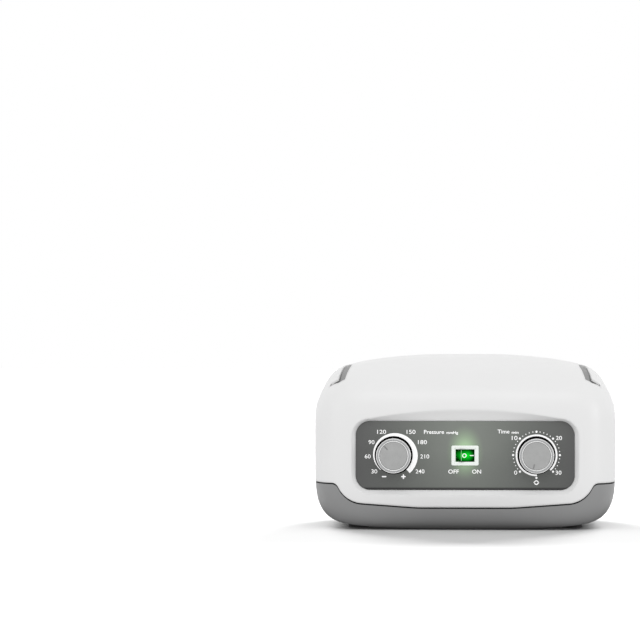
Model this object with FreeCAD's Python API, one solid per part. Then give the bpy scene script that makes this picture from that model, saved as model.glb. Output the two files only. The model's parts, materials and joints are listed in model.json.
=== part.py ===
"""Tabletop compression therapy pump: an air compressor that fills a limb sleeve in turn through
four outlets, with a pressure dial, a rocker switch and a clockwork timer on its front.

Sizes are in millimetres. X runs to the right, Y to the back and Z up from the table, as the
user sees the pump. Every piece is drawn about the middle of the housing and moved as one at the
end, so that the origin lies under the middle of the overall length and width."""
import FreeCAD, Part
import math
import os

V = FreeCAD.Vector
X, Y, Z = V(1, 0, 0), V(0, 1, 0), V(0, 0, 1)

# ---------------------------------------------------------------- housing form
HALF_WIDTH = 119.3      # widest plan half width, at mid height
FRONT_REACH = 92.6      # housing centre to its front face
REAR_REACH = 92.5       # housing centre to its rear face
HEIGHT = 136.5          # table to crown
FOOT_GAP = 1.0          # table to the lowest part of the housing's bowed underside
WALL = 2.5              # moulded wall
SIDE_CURVE = 8.0        # how squarely the plan turns from front to side
FRONT_CURVE = 4.2       # how squarely it turns from side to front
PLAN_POINTS = 48        # control points round the plan

# Rows of control points: height above the underside, then how far the side, the front and the
# rear stand in from their widest.
BASE_ROWS = [(0.0, 70.0, 13.0, 13.0), (0.7, 36.0, 9.0, 9.5), (2.4, 20.0, 6.0, 6.5),
             (6.4, 11.0, 3.8, 4.0), (13.4, 4.6, 2.2, 2.0), (24.5, 0.7, 1.0, 0.5),
             (42.5, 0.0, 0.3, 0.0)]
# The same from the crown down.
CROWN_ROWS = [(61.5, 0.0, 0.0, 0.0), (44.5, 0.0, 0.3, 0.3), (35.5, 2.1, 1.3, 1.5),
              (26.5, 6.3, 4.6, 4.0), (18.0, 10.7, 16.6, 9.5), (11.5, 16.3, 34.6, 18.5),
              (7.0, 29.3, 51.6, 28.5), (3.3, 49.3, 69.6, 42.5), (0.8, 75.3, 87.6, 58.5),
              (0.0, 91.3, 95.6, 68.5), (0.0, 104.3, 99.6, 74.5)]

SEAM_GAP = 1.0          # shadow line between the two mouldings
SEAM_SIDE_Z = 36.0      # parting line on the sides
SEAM_FRONT_Z = 17.3     # parting line at the middle of the front
SEAM_FRONT_X = 37.0     # half length of its level run there
SEAM_DROP_X = 100.6     # where it starts to drop towards the front
SEAM_DROP_RUN = 8.0     # width of the drop
SEAM_SAG = 4.0          # fall from the foot of the drop to the level run
SEAM_BENDS = (5.5, 22.0, 145.0)  # radii at the top of the drop, at its foot and in the sag
LIP_RISE = 4.0          # inner lip that closes the seam
LIP_THICK = 1.8
LIP_CLEARANCE = 0.15

# ---------------------------------------------------------------- front panel and rear wall
PANEL_WIDTH = 170.0
PANEL_HEIGHT = 53.5
PANEL_CORNER = 11.3
PANEL_THICK = 1.5
PANEL_CLEARANCE = 0.25
PANEL_Z = 58.1
PANEL_SEAT_Y = -86.0    # face of the housing that the panel lies on
POCKET_FLARE_TOP = 10.0  # how far the pocket's surround opens out at the front
POCKET_FLARE_SIDE = 5.5
POCKET_FLARE_BOTTOM = 5.0
POCKET_DEEP = 5.0
REAR_SEAT_Y = 86.0      # outer face of the rear plate that the sockets sit on
REAR_WIDTH = 176.0
REAR_HEIGHT = 44.0
REAR_CORNER = 9.0
REAR_PLATE_THICK = 2.5
REAR_LEDGE = 5.0        # width of the housing's ledge under the plate
REAR_LEDGE_CORNER = 14.0
REAR_SCREW_INSET = 6.5  # plate edge to its corner screws
VENT_COUNT, VENT_WIDTH, VENT_PITCH = 5, 2.4, 5.0
VENT_X, VENT_LENGTH = -20.0, 24.0

DIAL_X = 55.4           # dials stand this far each side of the middle

# ---------------------------------------------------------------- knobs
KNOB_RADIUS = 13.65
KNOB_SKIRT_RADIUS = 13.9
KNOB_SKIRT = 2.4
KNOB_HEIGHT = 12.6      # above the panel face
KNOB_CLEARANCE = 0.7    # skirt above the panel
KNOB_FLUTES = 36
FLUTE_RADIUS = 0.45
CAP_RADIUS = 10.8
CAP_THICK = 1.2
CAP_CLEARANCE = 0.05
POINTER_WIDTH = 1.1
POINTER_LENGTH = 4.2
PRESSURE_POINTER = 134.0  # degrees, anticlockwise from the right
TIMER_POINTER = 255.0
SHAFT_RADIUS = 3.0
SHAFT_FLAT = 0.9
RUN_CLEARANCE = 0.04
BUSH_RADIUS = 4.5
BUSH_CLEARANCE = 0.2
NUT_ACROSS = 11.0
NUT_THICK = 2.0

# ---------------------------------------------------------------- rocker switch
SWITCH_WIDTH = 21.2
SWITCH_HEIGHT = 15.5
SWITCH_BEZEL = 1.8
SWITCH_BODY_WIDTH = 19.0
SWITCH_BODY_HEIGHT = 12.8
SWITCH_BODY_DEPTH = 17.0
SWITCH_WINDOW_WIDTH = 14.8
SWITCH_WINDOW_HEIGHT = 9.8
SWITCH_CLEARANCE = 0.2
SWITCH_STEP = 1.2
ROCKER_TILT = 14.0
ROCKER_RADIUS = 10.8    # pivot to the rocker's ends
ROCKER_CORNER = 28.5    # half angle of its face
ROCKER_SKIRT = 40.0     # half angle that its end walls reach
ROCKER_CLEARANCE = 0.3
ROCKER_PIN = 1.2
BLADE_LENGTH = 8.0
BLADE_PLACES = (-6.0, 0.0, 6.0)

# ---------------------------------------------------------------- sockets at the back
OUTLET_X = 43.0
OUTLET_PITCH = 15.0
OUTLET_BORE = 3.2
OUTLET_DEPTH = 10.0
OUTLET_COUNT = 4
OUTLET_BODY_WIDTH = OUTLET_PITCH * (OUTLET_COUNT - 1) + 15.0
OUTLET_BODY_HEIGHT = 15.0
OUTLET_BACK = 12.0      # rear plate's face to the inner end of the block
OUTLET_CLEAR = 0.6      # housing's rearmost point to the floor of the sockets
OUTLET_COLLAR, OUTLET_RIM = 1.5, 1.6   # rise and width of the ring round each socket
FLANGE = 2.2            # flanges of both sockets
FLANGE_SCREW = 4.5      # outlet block's side to its screws
SOCKET_SCREW, SOCKET_SCREW_HEAD, SOCKET_SCREW_RISE = 1.4, 2.6, 1.6
INLET_BODY_WIDTH, INLET_BODY_HEIGHT = 21.0, 13.0
INLET_SCREW = 14.0      # inlet's middle to its screws
INLET_X = -66.0
INLET_Z = 56.0
INLET_PIN = 1.2
INLET_PIN_PITCH = 8.6

# ---------------------------------------------------------------- air tubes
BARB_RADIUS = 2.8
BARB_BORE = 1.5
BARB_LENGTH = 9.0
TUBE_INNER = 2.9
TUBE_OUTER = 4.1
TUBE_SET = 0.3          # tube end to the shoulder of its barb
TUBE_LEAD = 3.0         # straight run past the end of a barb
LEAD_RADIUS = 1.0

# ---------------------------------------------------------------- compressor
PUMP_X, PUMP_Y, PUMP_Z = -44.0, 6.0, 44.0   # middle of its shuttle
PUMP_END = 38.0         # middle to the outer face of an end plate
PUMP_PLATE = 4.0
PUMP_SIDE = 50.0        # end plate and head, square
PUMP_BASE_Z = 18.0
PUMP_BASE_THICK = 3.0
DIAPHRAGM_THICK = 1.6
DIAPHRAGM_RADIUS = 22.0
CHAMBER_RADIUS = 17.5
CHAMBER_DEEP = 8.0
HEAD_DEEP = 14.0
ROD_RADIUS = 3.0
CLAMP_RADIUS = 9.0
CLAMP_THICK = 2.0
MAGNET_LENGTH, MAGNET_THICK, MAGNET_HIGH = 32.0, 8.0, 20.0
CORE_GAP = 1.2
CORE_LENGTH, CORE_HIGH, CORE_LEG, CORE_BACK = 54.0, 20.0, 12.0, 6.0
CORE_TOOTH = 8.0
COIL_THICK = 6.0
COIL_CLEARANCE = 0.3
STROKE = 1.5            # of the shuttle, each way
MOUNT_RADIUS = 6.0
MOUNT_SPREAD_X, MOUNT_SPREAD_Y = 40.0, 29.5

# ---------------------------------------------------------------- air distributor
VALVE_X, VALVE_Z = OUTLET_X, PANEL_Z
VALVE_FACE_Y = 24.0     # face that the rotor turns against
MANIFOLD_WIDTH, MANIFOLD_HEIGHT, MANIFOLD_DEEP = 58.0, 22.0, 14.0
MANIFOLD_LEG = 10.0     # square legs under its rear corners
PORT_PITCH = 13.0
ROTOR_RADIUS, ROTOR_THICK, ROTOR_GAP = 17.0, 5.0, 0.2
ROTOR_SHAFT = 2.5
COVER_RADIUS, COVER_WALL, COVER_DEEP = 18.6, 2.5, 11.0
GEAR_MODULE = 0.8
GEAR_TEETH, PINION_TEETH = 36, 15
GEAR_THICK = 4.0
GEAR_STANDOFF = 2.0
MOTOR_RADIUS, MOTOR_LENGTH, MOTOR_SHAFT = 14.5, 18.0, 1.5
BRACKET_THICK = 2.5
BRACKET_WIDTH, BRACKET_FOOT = 42.0, 10.0

# ---------------------------------------------------------------- pressure regulator
REG_RADIUS, REG_LENGTH, REG_WALL = 13.0, 34.0, 2.5
REG_COLLAR_RADIUS, REG_COLLAR = 6.0, 2.0
REG_SEAT_THICK = 3.0
REG_SEAT_Y = -73.0      # front face of the spring seat as the dial stands
REG_KEY = 2.0
REG_SLIDE_CLEARANCE = 0.3
REG_POPPET_Y = -57.5
SCREW_PITCH = 4.0       # travel of the spring seat per turn of the dial
SPRING_RADIUS, SPRING_WIRE, SPRING_TURNS = 7.5, 0.7, 4

# ---------------------------------------------------------------- clockwork timer
TIMER_SIDE, TIMER_DEEP, TIMER_WALL = 46.0, 26.0, 2.0
WHEEL_MODULE = 0.6
WHEEL_TEETH, ESCAPE_TEETH = 36, 14
WHEEL_THICK = 2.0
ARBOR_RADIUS = 1.2
BARREL_RADIUS, BARREL_DEEP = 9.0, 5.0

# ---------------------------------------------------------------- electronics
BOARD_X, BOARD_Y, BOARD_Z = -4.0, -57.0, 14.0
BOARD_LENGTH, BOARD_DEPTH, BOARD_THICK = 104.0, 40.0, 1.6
BOARD_HOLE_INSET = 4.0
# Plug sockets on the board: x and y from its middle, and length.
SOCKET_PLACES = [(26.0, -10.0, 12.0), (41.0, -10.0, 8.0), (-47.0, 0.0, 8.0), (-5.0, 10.0, 8.0)]

# ---------------------------------------------------------------- intake filter
FILTER_X, FILTER_Y, FILTER_RADIUS, FILTER_THICK = 20.0, -10.0, 12.0, 4.0

# ---------------------------------------------------------------- grips, feet and screws
GRIP_SINK = 0.8         # grip face below the housing
GRIP_DEEP = 2.0         # recess depth
GRIP_CLEARANCE = 0.15
GRIP_PLAN = [(94.2, -70.0), (99.0, -71.0), (105.5, -66.5), (105.0, -64.2), (98.6, -66.0),
             (96.4, -40.0), (95.4, 0.0), (93.4, 44.0), (87.6, 44.0), (89.6, 0.0), (90.6, -40.0)]
FOOT_X, FOOT_Y = 84.0, 50.0
FOOT_RADIUS = 8.0
FOOT_TOP = 4.4          # table to the roof of a foot's socket
FOOT_ROOF = 1.5         # moulding above the socket
FOOT_CHAMFER = 0.6
FOOT_CLEARANCE = 0.1
PAD_RISE = 1.5          # pads on the tray's floor above its inner face
PAD_BORDER = 1.0        # pad beyond what stands on it
POST_X, POST_Y = 96.0, 56.0
POST_RADIUS, POST_HOLE = 5.0, 1.5
SCREW_RADIUS, SCREW_HEAD, SCREW_HEAD_THICK = 1.5, 3.0, 2.2
SCREW_HEAD_Z = 8.0      # table to the outer end of a housing screw's head

FORMS = {}              # insets of the housing form, filled when the parts are drawn


# ================================================================ small helpers
def box(x0, x1, y0, y1, z0, z1):
    """A block between two corners."""
    return Part.makeBox(x1 - x0, y1 - y0, z1 - z0, V(x0, y0, z0))


def rod_y(x, z, y0, y1, radius):
    """A round bar along Y."""
    return Part.makeCylinder(radius, y1 - y0, V(x, y0, z), Y)


def rod_x(y, z, x0, x1, radius):
    """A round bar along X."""
    return Part.makeCylinder(radius, x1 - x0, V(x0, y, z), X)


def rod_z(x, y, z0, z1, radius):
    """A round bar along Z."""
    return Part.makeCylinder(radius, z1 - z0, V(x, y, z0), Z)


def join(shapes):
    """One solid from pieces that meet."""
    return shapes[0].multiFuse(shapes[1:]).removeSplitter() if len(shapes) > 1 else shapes[0]


def rounded_plate(x, z, y0, y1, width, height, corner):
    """A plate in the XZ plane with round corners."""
    plate = box(x - width / 2, x + width / 2, y0, y1, z - height / 2, z + height / 2)
    upright = [e for e in plate.Edges if abs(e.BoundBox.YLength - (y1 - y0)) < 1e-6
               and e.BoundBox.XLength < 1e-6 and e.BoundBox.ZLength < 1e-6]
    return plate.makeFillet(corner, upright)


def hexagon_y(x, z, y0, y1, across):
    """A hexagonal nut blank along Y."""
    radius = across / math.sqrt(3)
    points = [V(x + radius * math.cos(math.radians(60 * k)), y0,
                z + radius * math.sin(math.radians(60 * k))) for k in range(7)]
    return Part.Face(Part.makePolygon(points)).extrude(V(0, y1 - y0, 0))


def rounded_path(points, radii):
    """A wire of straight runs joined by tangent arcs."""
    edges, last = [], points[0]
    for before, corner, after, radius in zip(points, points[1:], points[2:], radii):
        back, ahead = (before - corner).normalize(), (after - corner).normalize()
        half = back.getAngle(ahead) / 2
        reach = radius / math.tan(half)
        start, end = corner + back * reach, corner + ahead * reach
        bisector = (back + ahead).normalize()
        middle = corner + bisector * (radius / math.sin(half) - radius)
        edges += [Part.LineSegment(last, start).toShape(), Part.Arc(start, middle, end).toShape()]
        last = end
    edges.append(Part.LineSegment(last, points[-1]).toShape())
    return Part.Wire(edges)


def easy_radii(points, share=0.45, largest=20.0):
    """The largest bend radius that each corner's shorter run allows."""
    radii = []
    for before, corner, after in zip(points, points[1:], points[2:]):
        back, ahead = before - corner, after - corner
        half = back.getAngle(ahead) / 2
        radii.append(min(largest, share * min(back.Length, ahead.Length) * math.tan(half)))
    return radii


def swept(path, radius):
    """A round bar along a wire."""
    start = path.OrderedEdges[0]
    ring = Part.Wire(Part.Circle(start.valueAt(start.FirstParameter),
                                 start.tangentAt(start.FirstParameter), radius).toShape())
    return path.makePipeShell([ring], True, False)


def tube(points, radii, outer=TUBE_OUTER, inner=TUBE_INNER):
    """A hose along straight runs and arcs."""
    path = rounded_path(points, radii)
    return swept(path, outer).cut(swept(path, inner))


def barb(start, way):
    """A hose barb: three shallow ridges on a short pipe."""
    core = Part.makeCylinder(BARB_RADIUS - 0.4, BARB_LENGTH, start, way)
    ridges = [Part.makeCone(BARB_RADIUS, BARB_RADIUS - 0.4, BARB_LENGTH / 4,
                            start + way * (BARB_LENGTH * (0.2 + 0.25 * k)), way) for k in range(3)]
    return join([core] + ridges)


def gear(teeth, module, thick, x, z, y0, turn=0.0, backlash=0.12):
    """An involute spur gear along Y, with its flanks thinned by the backlash."""
    pitch, pressure = teeth * module / 2, math.radians(20)
    base, tip, root = pitch * math.cos(pressure), pitch + 0.85 * module, pitch - 1.15 * module
    involute = math.tan(pressure) - pressure
    half = math.pi / (2 * teeth) - backlash * module / (2 * pitch)
    low = max(base, root)
    flank = []
    for k in range(4):
        r = low + (tip - low) * k / 3
        roll = math.acos(min(1.0, base / r))
        flank.append((r, half + involute - (math.tan(roll) - roll)))
    points = []
    for tooth in range(teeth):
        middle = turn + 2 * math.pi * tooth / teeth
        sides = [(root, -flank[0][1])] + [(r, -a) for r, a in flank]
        sides += [(r, a) for r, a in reversed(flank)] + [(root, flank[0][1])]
        points += [V(x + r * math.cos(middle + a), y0, z + r * math.sin(middle + a))
                   for r, a in sides]
    clean = [points[0]]
    for p in points[1:]:
        if p.distanceToPoint(clean[-1]) > 1e-4:
            clean.append(p)
    return Part.Face(Part.makePolygon(clean + [clean[0]])).extrude(V(0, thick, 0))


# ================================================================ housing
def housing_rows(sink=0.0):
    """Rows of (height, half width, front, rear) for the form sunk below the outer skin."""
    rows = [(FOOT_GAP + z, HALF_WIDTH - s, FRONT_REACH - f, REAR_REACH - r)
            for z, s, f, r in BASE_ROWS]
    rows += [(HEIGHT - z, HALF_WIDTH - s, FRONT_REACH - f, REAR_REACH - r)
             for z, s, f, r in CROWN_ROWS]
    sunk = []
    for i, (z, side, front, rear) in enumerate(rows):
        low, high = rows[max(i - 1, 0)], rows[min(i + 1, len(rows) - 1)]
        rise = high[0] - low[0]
        lean = sum((low[k] - high[k]) / math.hypot(rise, high[k] - low[k]) for k in (1, 2)) / 2
        lean = -1.0 if i == 0 else 1.0 if i >= len(rows) - 2 else lean
        sunk.append((z - sink * lean, side - sink, front - sink, rear - sink))
    return sunk


def power(value, exponent):
    """A signed power, exact at zero."""
    return 0.0 if abs(value) < 1e-9 else math.copysign(abs(value) ** exponent, value)


def housing_form(sink=0.0):
    """The closed housing form: a surface through rounded plan sections, with flat ends."""
    rows = housing_rows(sink)
    poles = []
    for k in range(PLAN_POINTS):
        angle = math.pi / 2 + 2 * math.pi * k / PLAN_POINTS
        across = power(math.cos(angle), 2 / SIDE_CURVE)
        along = power(math.sin(angle), 2 / FRONT_CURVE)
        poles.append([V(side * across, (rear - front) / 2 + (rear + front) / 2 * along, z)
                      for z, side, front, rear in rows])
    surface = Part.BSplineSurface()
    surface.buildFromPolesMultsKnots(
        poles, [1] * (PLAN_POINTS + 1), [4] + [1] * (len(rows) - 4) + [4],
        [float(k) for k in range(PLAN_POINTS + 1)], [float(k) for k in range(len(rows) - 2)],
        True, False, 3, 3)
    skin = surface.toShape()
    ends = [Part.Face(Part.Wire(edge)) for edge in skin.Edges if edge.isClosed()]
    shell = Part.makeShell([skin] + ends)
    shell.sewShape()
    form = Part.makeSolid(shell.Shells[0] if shell.ShapeType != "Shell" else shell)
    if form.Volume < 0:
        form.reverse()
    return form


def seam_block(lift, above=True):
    """All space above (or below) the parting line, which is the same from front to back."""
    far_x, far_z = HALF_WIDTH + 30, HEIGHT + 30 if above else -30
    foot_x = SEAM_DROP_X - SEAM_DROP_RUN
    half = [V(far_x, 0, SEAM_SIDE_Z), V(SEAM_DROP_X, 0, SEAM_SIDE_Z),
            V(foot_x, 0, SEAM_FRONT_Z + SEAM_SAG), V(SEAM_FRONT_X, 0, SEAM_FRONT_Z)]
    line = [V(p.x, -FRONT_REACH - 40, p.z + lift) for p in half]
    line += [V(-p.x, p.y, p.z) for p in reversed(line)]
    path = rounded_path(line, SEAM_BENDS + SEAM_BENDS[::-1])
    y = line[0].y
    frame = Part.makePolygon([line[-1], V(-far_x, y, far_z), V(far_x, y, far_z), line[0]])
    face = Part.Face(Part.Wire(path.OrderedEdges + frame.Edges))
    return face.extrude(V(0, FRONT_REACH + REAR_REACH + 80, 0))


def pocket(width, height, corner, seat_y, thick, way, flare_top, flare_bottom, grow=0.0):
    """A flared pocket for a plate, which opens towards way (-1 front, 1 back) from a flat floor."""
    def outline(y, side, top, bottom, crown):
        x = width / 2 + side
        z0, z1 = PANEL_Z - height / 2 - bottom, PANEL_Z + height / 2 + top
        r = corner + side
        c = r * (1 - math.sqrt(0.5))
        edges = [Part.Arc(V(-x + r, y, z1), V(0, y, z1 + crown), V(x - r, y, z1)),
                 Part.Arc(V(x - r, y, z1), V(x - c, y, z1 - c), V(x, y, z1 - r)),
                 Part.LineSegment(V(x, y, z1 - r), V(x, y, z0 + r)),
                 Part.Arc(V(x, y, z0 + r), V(x - c, y, z0 + c), V(x - r, y, z0)),
                 Part.LineSegment(V(x - r, y, z0), V(-x + r, y, z0)),
                 Part.Arc(V(-x + r, y, z0), V(-x + c, y, z0 + c), V(-x, y, z0 + r)),
                 Part.LineSegment(V(-x, y, z0 + r), V(-x, y, z1 - r)),
                 Part.Arc(V(-x, y, z1 - r), V(-x + c, y, z1 - c), V(-x + r, y, z1))]
        return Part.Wire([e.toShape() for e in edges])
    flat = 0.05
    y0, y1 = seat_y - way * grow, seat_y + way * (thick + 0.1)
    y2 = y1 + way * 2 * POCKET_DEEP
    g = grow + PANEL_CLEARANCE
    straight = Part.makeLoft([outline(y0, g, g, g, flat), outline(y1, g, g, g, flat)], True, True)
    flared = Part.makeLoft([outline(y1, g, g, g, flat),
                            outline(y2, g + 2 * POCKET_FLARE_SIDE, g + 2 * 0.2 * flare_top,
                                    g + 2 * flare_bottom, 2 * 0.8 * flare_top)], True, True)
    return straight.fuse(flared)


def front_pocket(grow=0.0):
    return pocket(PANEL_WIDTH, PANEL_HEIGHT, PANEL_CORNER, PANEL_SEAT_Y, PANEL_THICK, -1,
                  POCKET_FLARE_TOP, POCKET_FLARE_BOTTOM, grow)


def rear_ledge_y():
    return REAR_SEAT_Y - REAR_PLATE_THICK


def rear_pocket(grow=0.0):
    return pocket(REAR_WIDTH, REAR_HEIGHT, REAR_CORNER, rear_ledge_y(), REAR_PLATE_THICK, 1,
                  POCKET_FLARE_SIDE, POCKET_FLARE_BOTTOM, grow)


def grip_prism(side, grow):
    """The plan of one hand grip, drawn straight up."""
    plan = Part.Face(Part.makePolygon([V(x, y, HEIGHT * 0.7) for x, y in GRIP_PLAN]
                                      + [V(GRIP_PLAN[0][0], GRIP_PLAN[0][1], HEIGHT * 0.7)]))
    if grow:
        plan = Part.Face(plan.OuterWire.makeOffset2D(grow, 2))
    prism = plan.extrude(V(0, 0, HEIGHT))
    return prism if side > 0 else prism.mirror(V(0, 0, 0), X)


def post_places():
    """Plan places of the housing screws."""
    return [(sx * POST_X, sy * POST_Y) for sx in (-1, 1) for sy in (-1, 1)]


def front_holes(y0, y1):
    """Openings for the two dials and the switch."""
    holes = [rod_y(side * DIAL_X, PANEL_Z, y0, y1, BUSH_RADIUS + BUSH_CLEARANCE)
             for side in (-1, 1)]
    half_w = SWITCH_BODY_WIDTH / 2 + SWITCH_CLEARANCE
    half_h = SWITCH_BODY_HEIGHT / 2 + SWITCH_CLEARANCE
    return holes + [box(-half_w, half_w, y0, y1, PANEL_Z - half_h, PANEL_Z + half_h)]


def outlet_places():
    """X places of the air outlets."""
    return [OUTLET_X + OUTLET_PITCH * (k - (OUTLET_COUNT - 1) / 2) for k in range(OUTLET_COUNT)]


def rear_opening():
    """Way through the housing's ledge behind the rear plate."""
    y = rear_ledge_y()
    return rounded_plate(0, PANEL_Z, y - WALL - 1, y + 1, REAR_WIDTH - 2 * REAR_LEDGE,
                         REAR_HEIGHT - 2 * REAR_LEDGE, REAR_LEDGE_CORNER)


def socket_screw_places():
    """Screws of the inlet's flange and of the outlet block's."""
    reach = OUTLET_BODY_WIDTH / 2 + FLANGE_SCREW
    return ([(INLET_X + s * INLET_SCREW, INLET_Z) for s in (-1, 1)]
            + [(OUTLET_X + s * reach, PANEL_Z) for s in (-1, 1)])


def plate_screw_places():
    """Corner screws of the rear plate."""
    x, z = REAR_WIDTH / 2 - REAR_SCREW_INSET, REAR_HEIGHT / 2 - REAR_SCREW_INSET
    return [(sx * x, PANEL_Z + sz * z) for sx in (-1, 1) for sz in (-1, 1)]


def rear_drills(places):
    return [rod_y(x, z, rear_ledge_y() - WALL - 1, REAR_SEAT_Y + 1, SOCKET_SCREW + 0.05)
            for x, z in places]


def rear_holes():
    """Openings in the rear plate for the outlet block, the mains inlet and the vents."""
    y0, y1 = rear_ledge_y() - 1, REAR_SEAT_Y + 1
    c = PANEL_CLEARANCE
    holes = [box(OUTLET_X - OUTLET_BODY_WIDTH / 2 - c, OUTLET_X + OUTLET_BODY_WIDTH / 2 + c, y0, y1,
                 PANEL_Z - OUTLET_BODY_HEIGHT / 2 - c, PANEL_Z + OUTLET_BODY_HEIGHT / 2 + c),
             box(INLET_X - INLET_BODY_WIDTH / 2 - c, INLET_X + INLET_BODY_WIDTH / 2 + c, y0, y1,
                 INLET_Z - INLET_BODY_HEIGHT / 2 - c, INLET_Z + INLET_BODY_HEIGHT / 2 + c)]
    for k in range(VENT_COUNT):
        z = PANEL_Z + VENT_PITCH * (k - (VENT_COUNT - 1) / 2)
        holes.append(box(VENT_X - VENT_LENGTH / 2, VENT_X + VENT_LENGTH / 2, y0, y1,
                         z - VENT_WIDTH / 2, z + VENT_WIDTH / 2))
    return holes


def upper_housing(outer, inner):
    """White moulding: the skin above the seam, the panel pocket, the grip recesses and posts."""
    backing = [front_pocket(WALL).common(outer), rear_pocket(WALL).common(outer)]
    ribs = []
    for side in (-1, 1):
        ribs.append(outer.cut(FORMS["rib"]).common(grip_prism(side, 2.0)))
    skin = outer.cut(inner).fuse(backing + ribs)
    for side in (-1, 1):
        recess = outer.cut(FORMS["recess"]).common(grip_prism(side, GRIP_CLEARANCE))
        skin = skin.cut(recess)
    skin = skin.cut([front_pocket(), rear_pocket()])
    skin = skin.cut(front_holes(PANEL_SEAT_Y - 1, PANEL_SEAT_Y + WALL + 1))
    skin = skin.cut([rear_opening()] + rear_drills(plate_screw_places()))
    top = skin.common(seam_block(SEAM_GAP / 2))
    posts = [rod_z(x, y, SEAM_SIDE_Z - 8, HEIGHT, POST_RADIUS) for x, y in post_places()]
    posts = [p.common(FORMS["rib"].fuse(inner)).common(outer) for p in posts]
    top = top.fuse(posts)
    drills = [rod_z(x, y, 0, SEAM_SIDE_Z + 14, POST_HOLE) for x, y in post_places()]
    return top.cut(drills)


def rear_plate():
    """Plate let into the back of the housing, which carries both sockets and has the vents."""
    plate = rounded_plate(0, PANEL_Z, rear_ledge_y(), REAR_SEAT_Y, REAR_WIDTH, REAR_HEIGHT,
                          REAR_CORNER)
    return plate.cut(rear_holes() + rear_drills(socket_screw_places() + plate_screw_places()))


def floor_z():
    """Top of the pads that the filter and the distributor's supports stand on."""
    return FOOT_GAP + WALL + PAD_RISE


def floor_pads(low):
    """Pads under the filter, the manifold's legs and the bracket's foot."""
    pads = [rod_z(FILTER_X, FILTER_Y, low, floor_z(), FILTER_RADIUS + PAD_BORDER)]
    for x0, x1, y0, y1 in manifold_leg_plans() + [bracket_foot_plan()]:
        pads.append(box(x0 - PAD_BORDER, x1 + PAD_BORDER, y0 - PAD_BORDER, y1 + PAD_BORDER, low,
                        floor_z()))
    return pads


def floor_bosses():
    """Studs that rise from the base floor: heights by what stands on them."""
    low = FOOT_GAP + WALL / 2
    bosses = [rod_z(x, y, low, SEAM_SIDE_Z - 8, POST_RADIUS) for x, y in post_places()]
    bosses += [rod_z(x, y, low, PUMP_BASE_Z - 8, MOUNT_RADIUS + 1) for x, y in mount_places()]
    bosses += [rod_z(x, y, low, BOARD_Z, 3.5) for x, y in board_holes()]
    bosses += [rod_z(x, y, low, FOOT_TOP + FOOT_ROOF, FOOT_RADIUS + WALL)
               for x, y in foot_places()]
    return bosses + floor_pads(low)


def lower_housing(outer, inner):
    """Grey moulding: the tray below the seam with its lip, bosses and foot sockets."""
    low = outer.cut(inner).common(seam_block(-SEAM_GAP / 2, False))
    lip_band = seam_block(-LIP_RISE).common(seam_block(LIP_RISE, False))
    lip_low = outer.cut(FORMS["lip_in"]).cut(seam_block(-SEAM_GAP / 2)).common(lip_band)
    lip_low = lip_low.common(FORMS["lip_out"])
    lip_high = FORMS["lip_gap"].cut(FORMS["lip_in"]).common(lip_band)
    bosses = [b.common(outer) for b in floor_bosses()]
    tray = low.fuse([lip_low, lip_high] + bosses)
    cuts = [rod_z(x, y, 0, FOOT_TOP, FOOT_RADIUS + FOOT_CLEARANCE) for x, y in foot_places()]
    cuts += [rod_z(x, y, 0, SEAM_SIDE_Z, SCREW_RADIUS + 0.15) for x, y in post_places()]
    cuts += [rod_z(x, y, 0, SCREW_HEAD_Z + SCREW_HEAD_THICK + 0.05, SCREW_HEAD + 0.3)
             for x, y in post_places()]
    cuts += [rod_z(x, y, PUMP_BASE_Z - 14, PUMP_BASE_Z, 1.5) for x, y in mount_places()]
    cuts += [rod_z(x, y, BOARD_Z - 6, BOARD_Z + 1, 1.2) for x, y in board_holes()]
    cuts += [box(FILTER_X - 8, FILTER_X + 8, FILTER_Y + 4 * k - 1, FILTER_Y + 4 * k + 1, 0,
                 floor_z() + 1) for k in (-1, 0, 1)]
    return tray.cut(cuts)


def intake_filter():
    """Felt disc over the intake slots in the floor."""
    return rod_z(FILTER_X, FILTER_Y, floor_z(), floor_z() + FILTER_THICK, FILTER_RADIUS)


def foot_places():
    return [(sx * FOOT_X, sy * FOOT_Y) for sx in (-1, 1) for sy in (-1, 1)]


def rubber_feet():
    """Four feet, glued into shallow sockets."""
    feet = []
    for x, y in foot_places():
        foot = rod_z(x, y, 0, FOOT_TOP, FOOT_RADIUS)
        rim = [e for e in foot.Edges if abs(e.BoundBox.ZMax) < 1e-6]
        feet.append(foot.makeChamfer(FOOT_CHAMFER, rim))
    return Part.makeCompound(feet)


def screw_up(x, y, z, radius, head, head_thick, length):
    """A pan screw driven upwards, head at the bottom, with a cross recess."""
    head_part = rod_z(x, y, z, z + head_thick, head)
    slot = [box(x - head * 0.6, x + head * 0.6, y - 0.35, y + 0.35, z, z + 0.9),
            box(x - 0.35, x + 0.35, y - head * 0.6, y + head * 0.6, z, z + 0.9)]
    return head_part.fuse(rod_z(x, y, z, z + head_thick + length, radius)).cut(slot)


def screw_down(x, y, z, radius, head, head_thick, length):
    """A pan screw driven downwards from z, the underside of its head."""
    head_part = rod_z(x, y, z, z + head_thick, head)
    slot = [box(x - head * 0.6, x + head * 0.6, y - 0.35, y + 0.35, z + head_thick - 0.8,
                z + head_thick),
            box(x - 0.35, x + 0.35, y - head * 0.6, y + head * 0.6, z + head_thick - 0.8,
                z + head_thick)]
    return head_part.fuse(rod_z(x, y, z - length, z, radius)).cut(slot)


def housing_screws():
    """Four screws that hold the two mouldings together from below."""
    return Part.makeCompound([screw_up(x, y, SCREW_HEAD_Z, SCREW_RADIUS - 0.02, SCREW_HEAD,
                                       SCREW_HEAD_THICK, SEAM_SIDE_Z) for x, y in post_places()])


def grip_inlay(side):
    """Grey grip strip that lies in its recess just below the skin."""
    sheet = FORMS["grip_top"].cut(FORMS["recess"])
    return sheet.common(grip_prism(side, 0.0))


# ================================================================ front of the pump
def panel_face_y():
    return PANEL_SEAT_Y - PANEL_THICK


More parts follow.
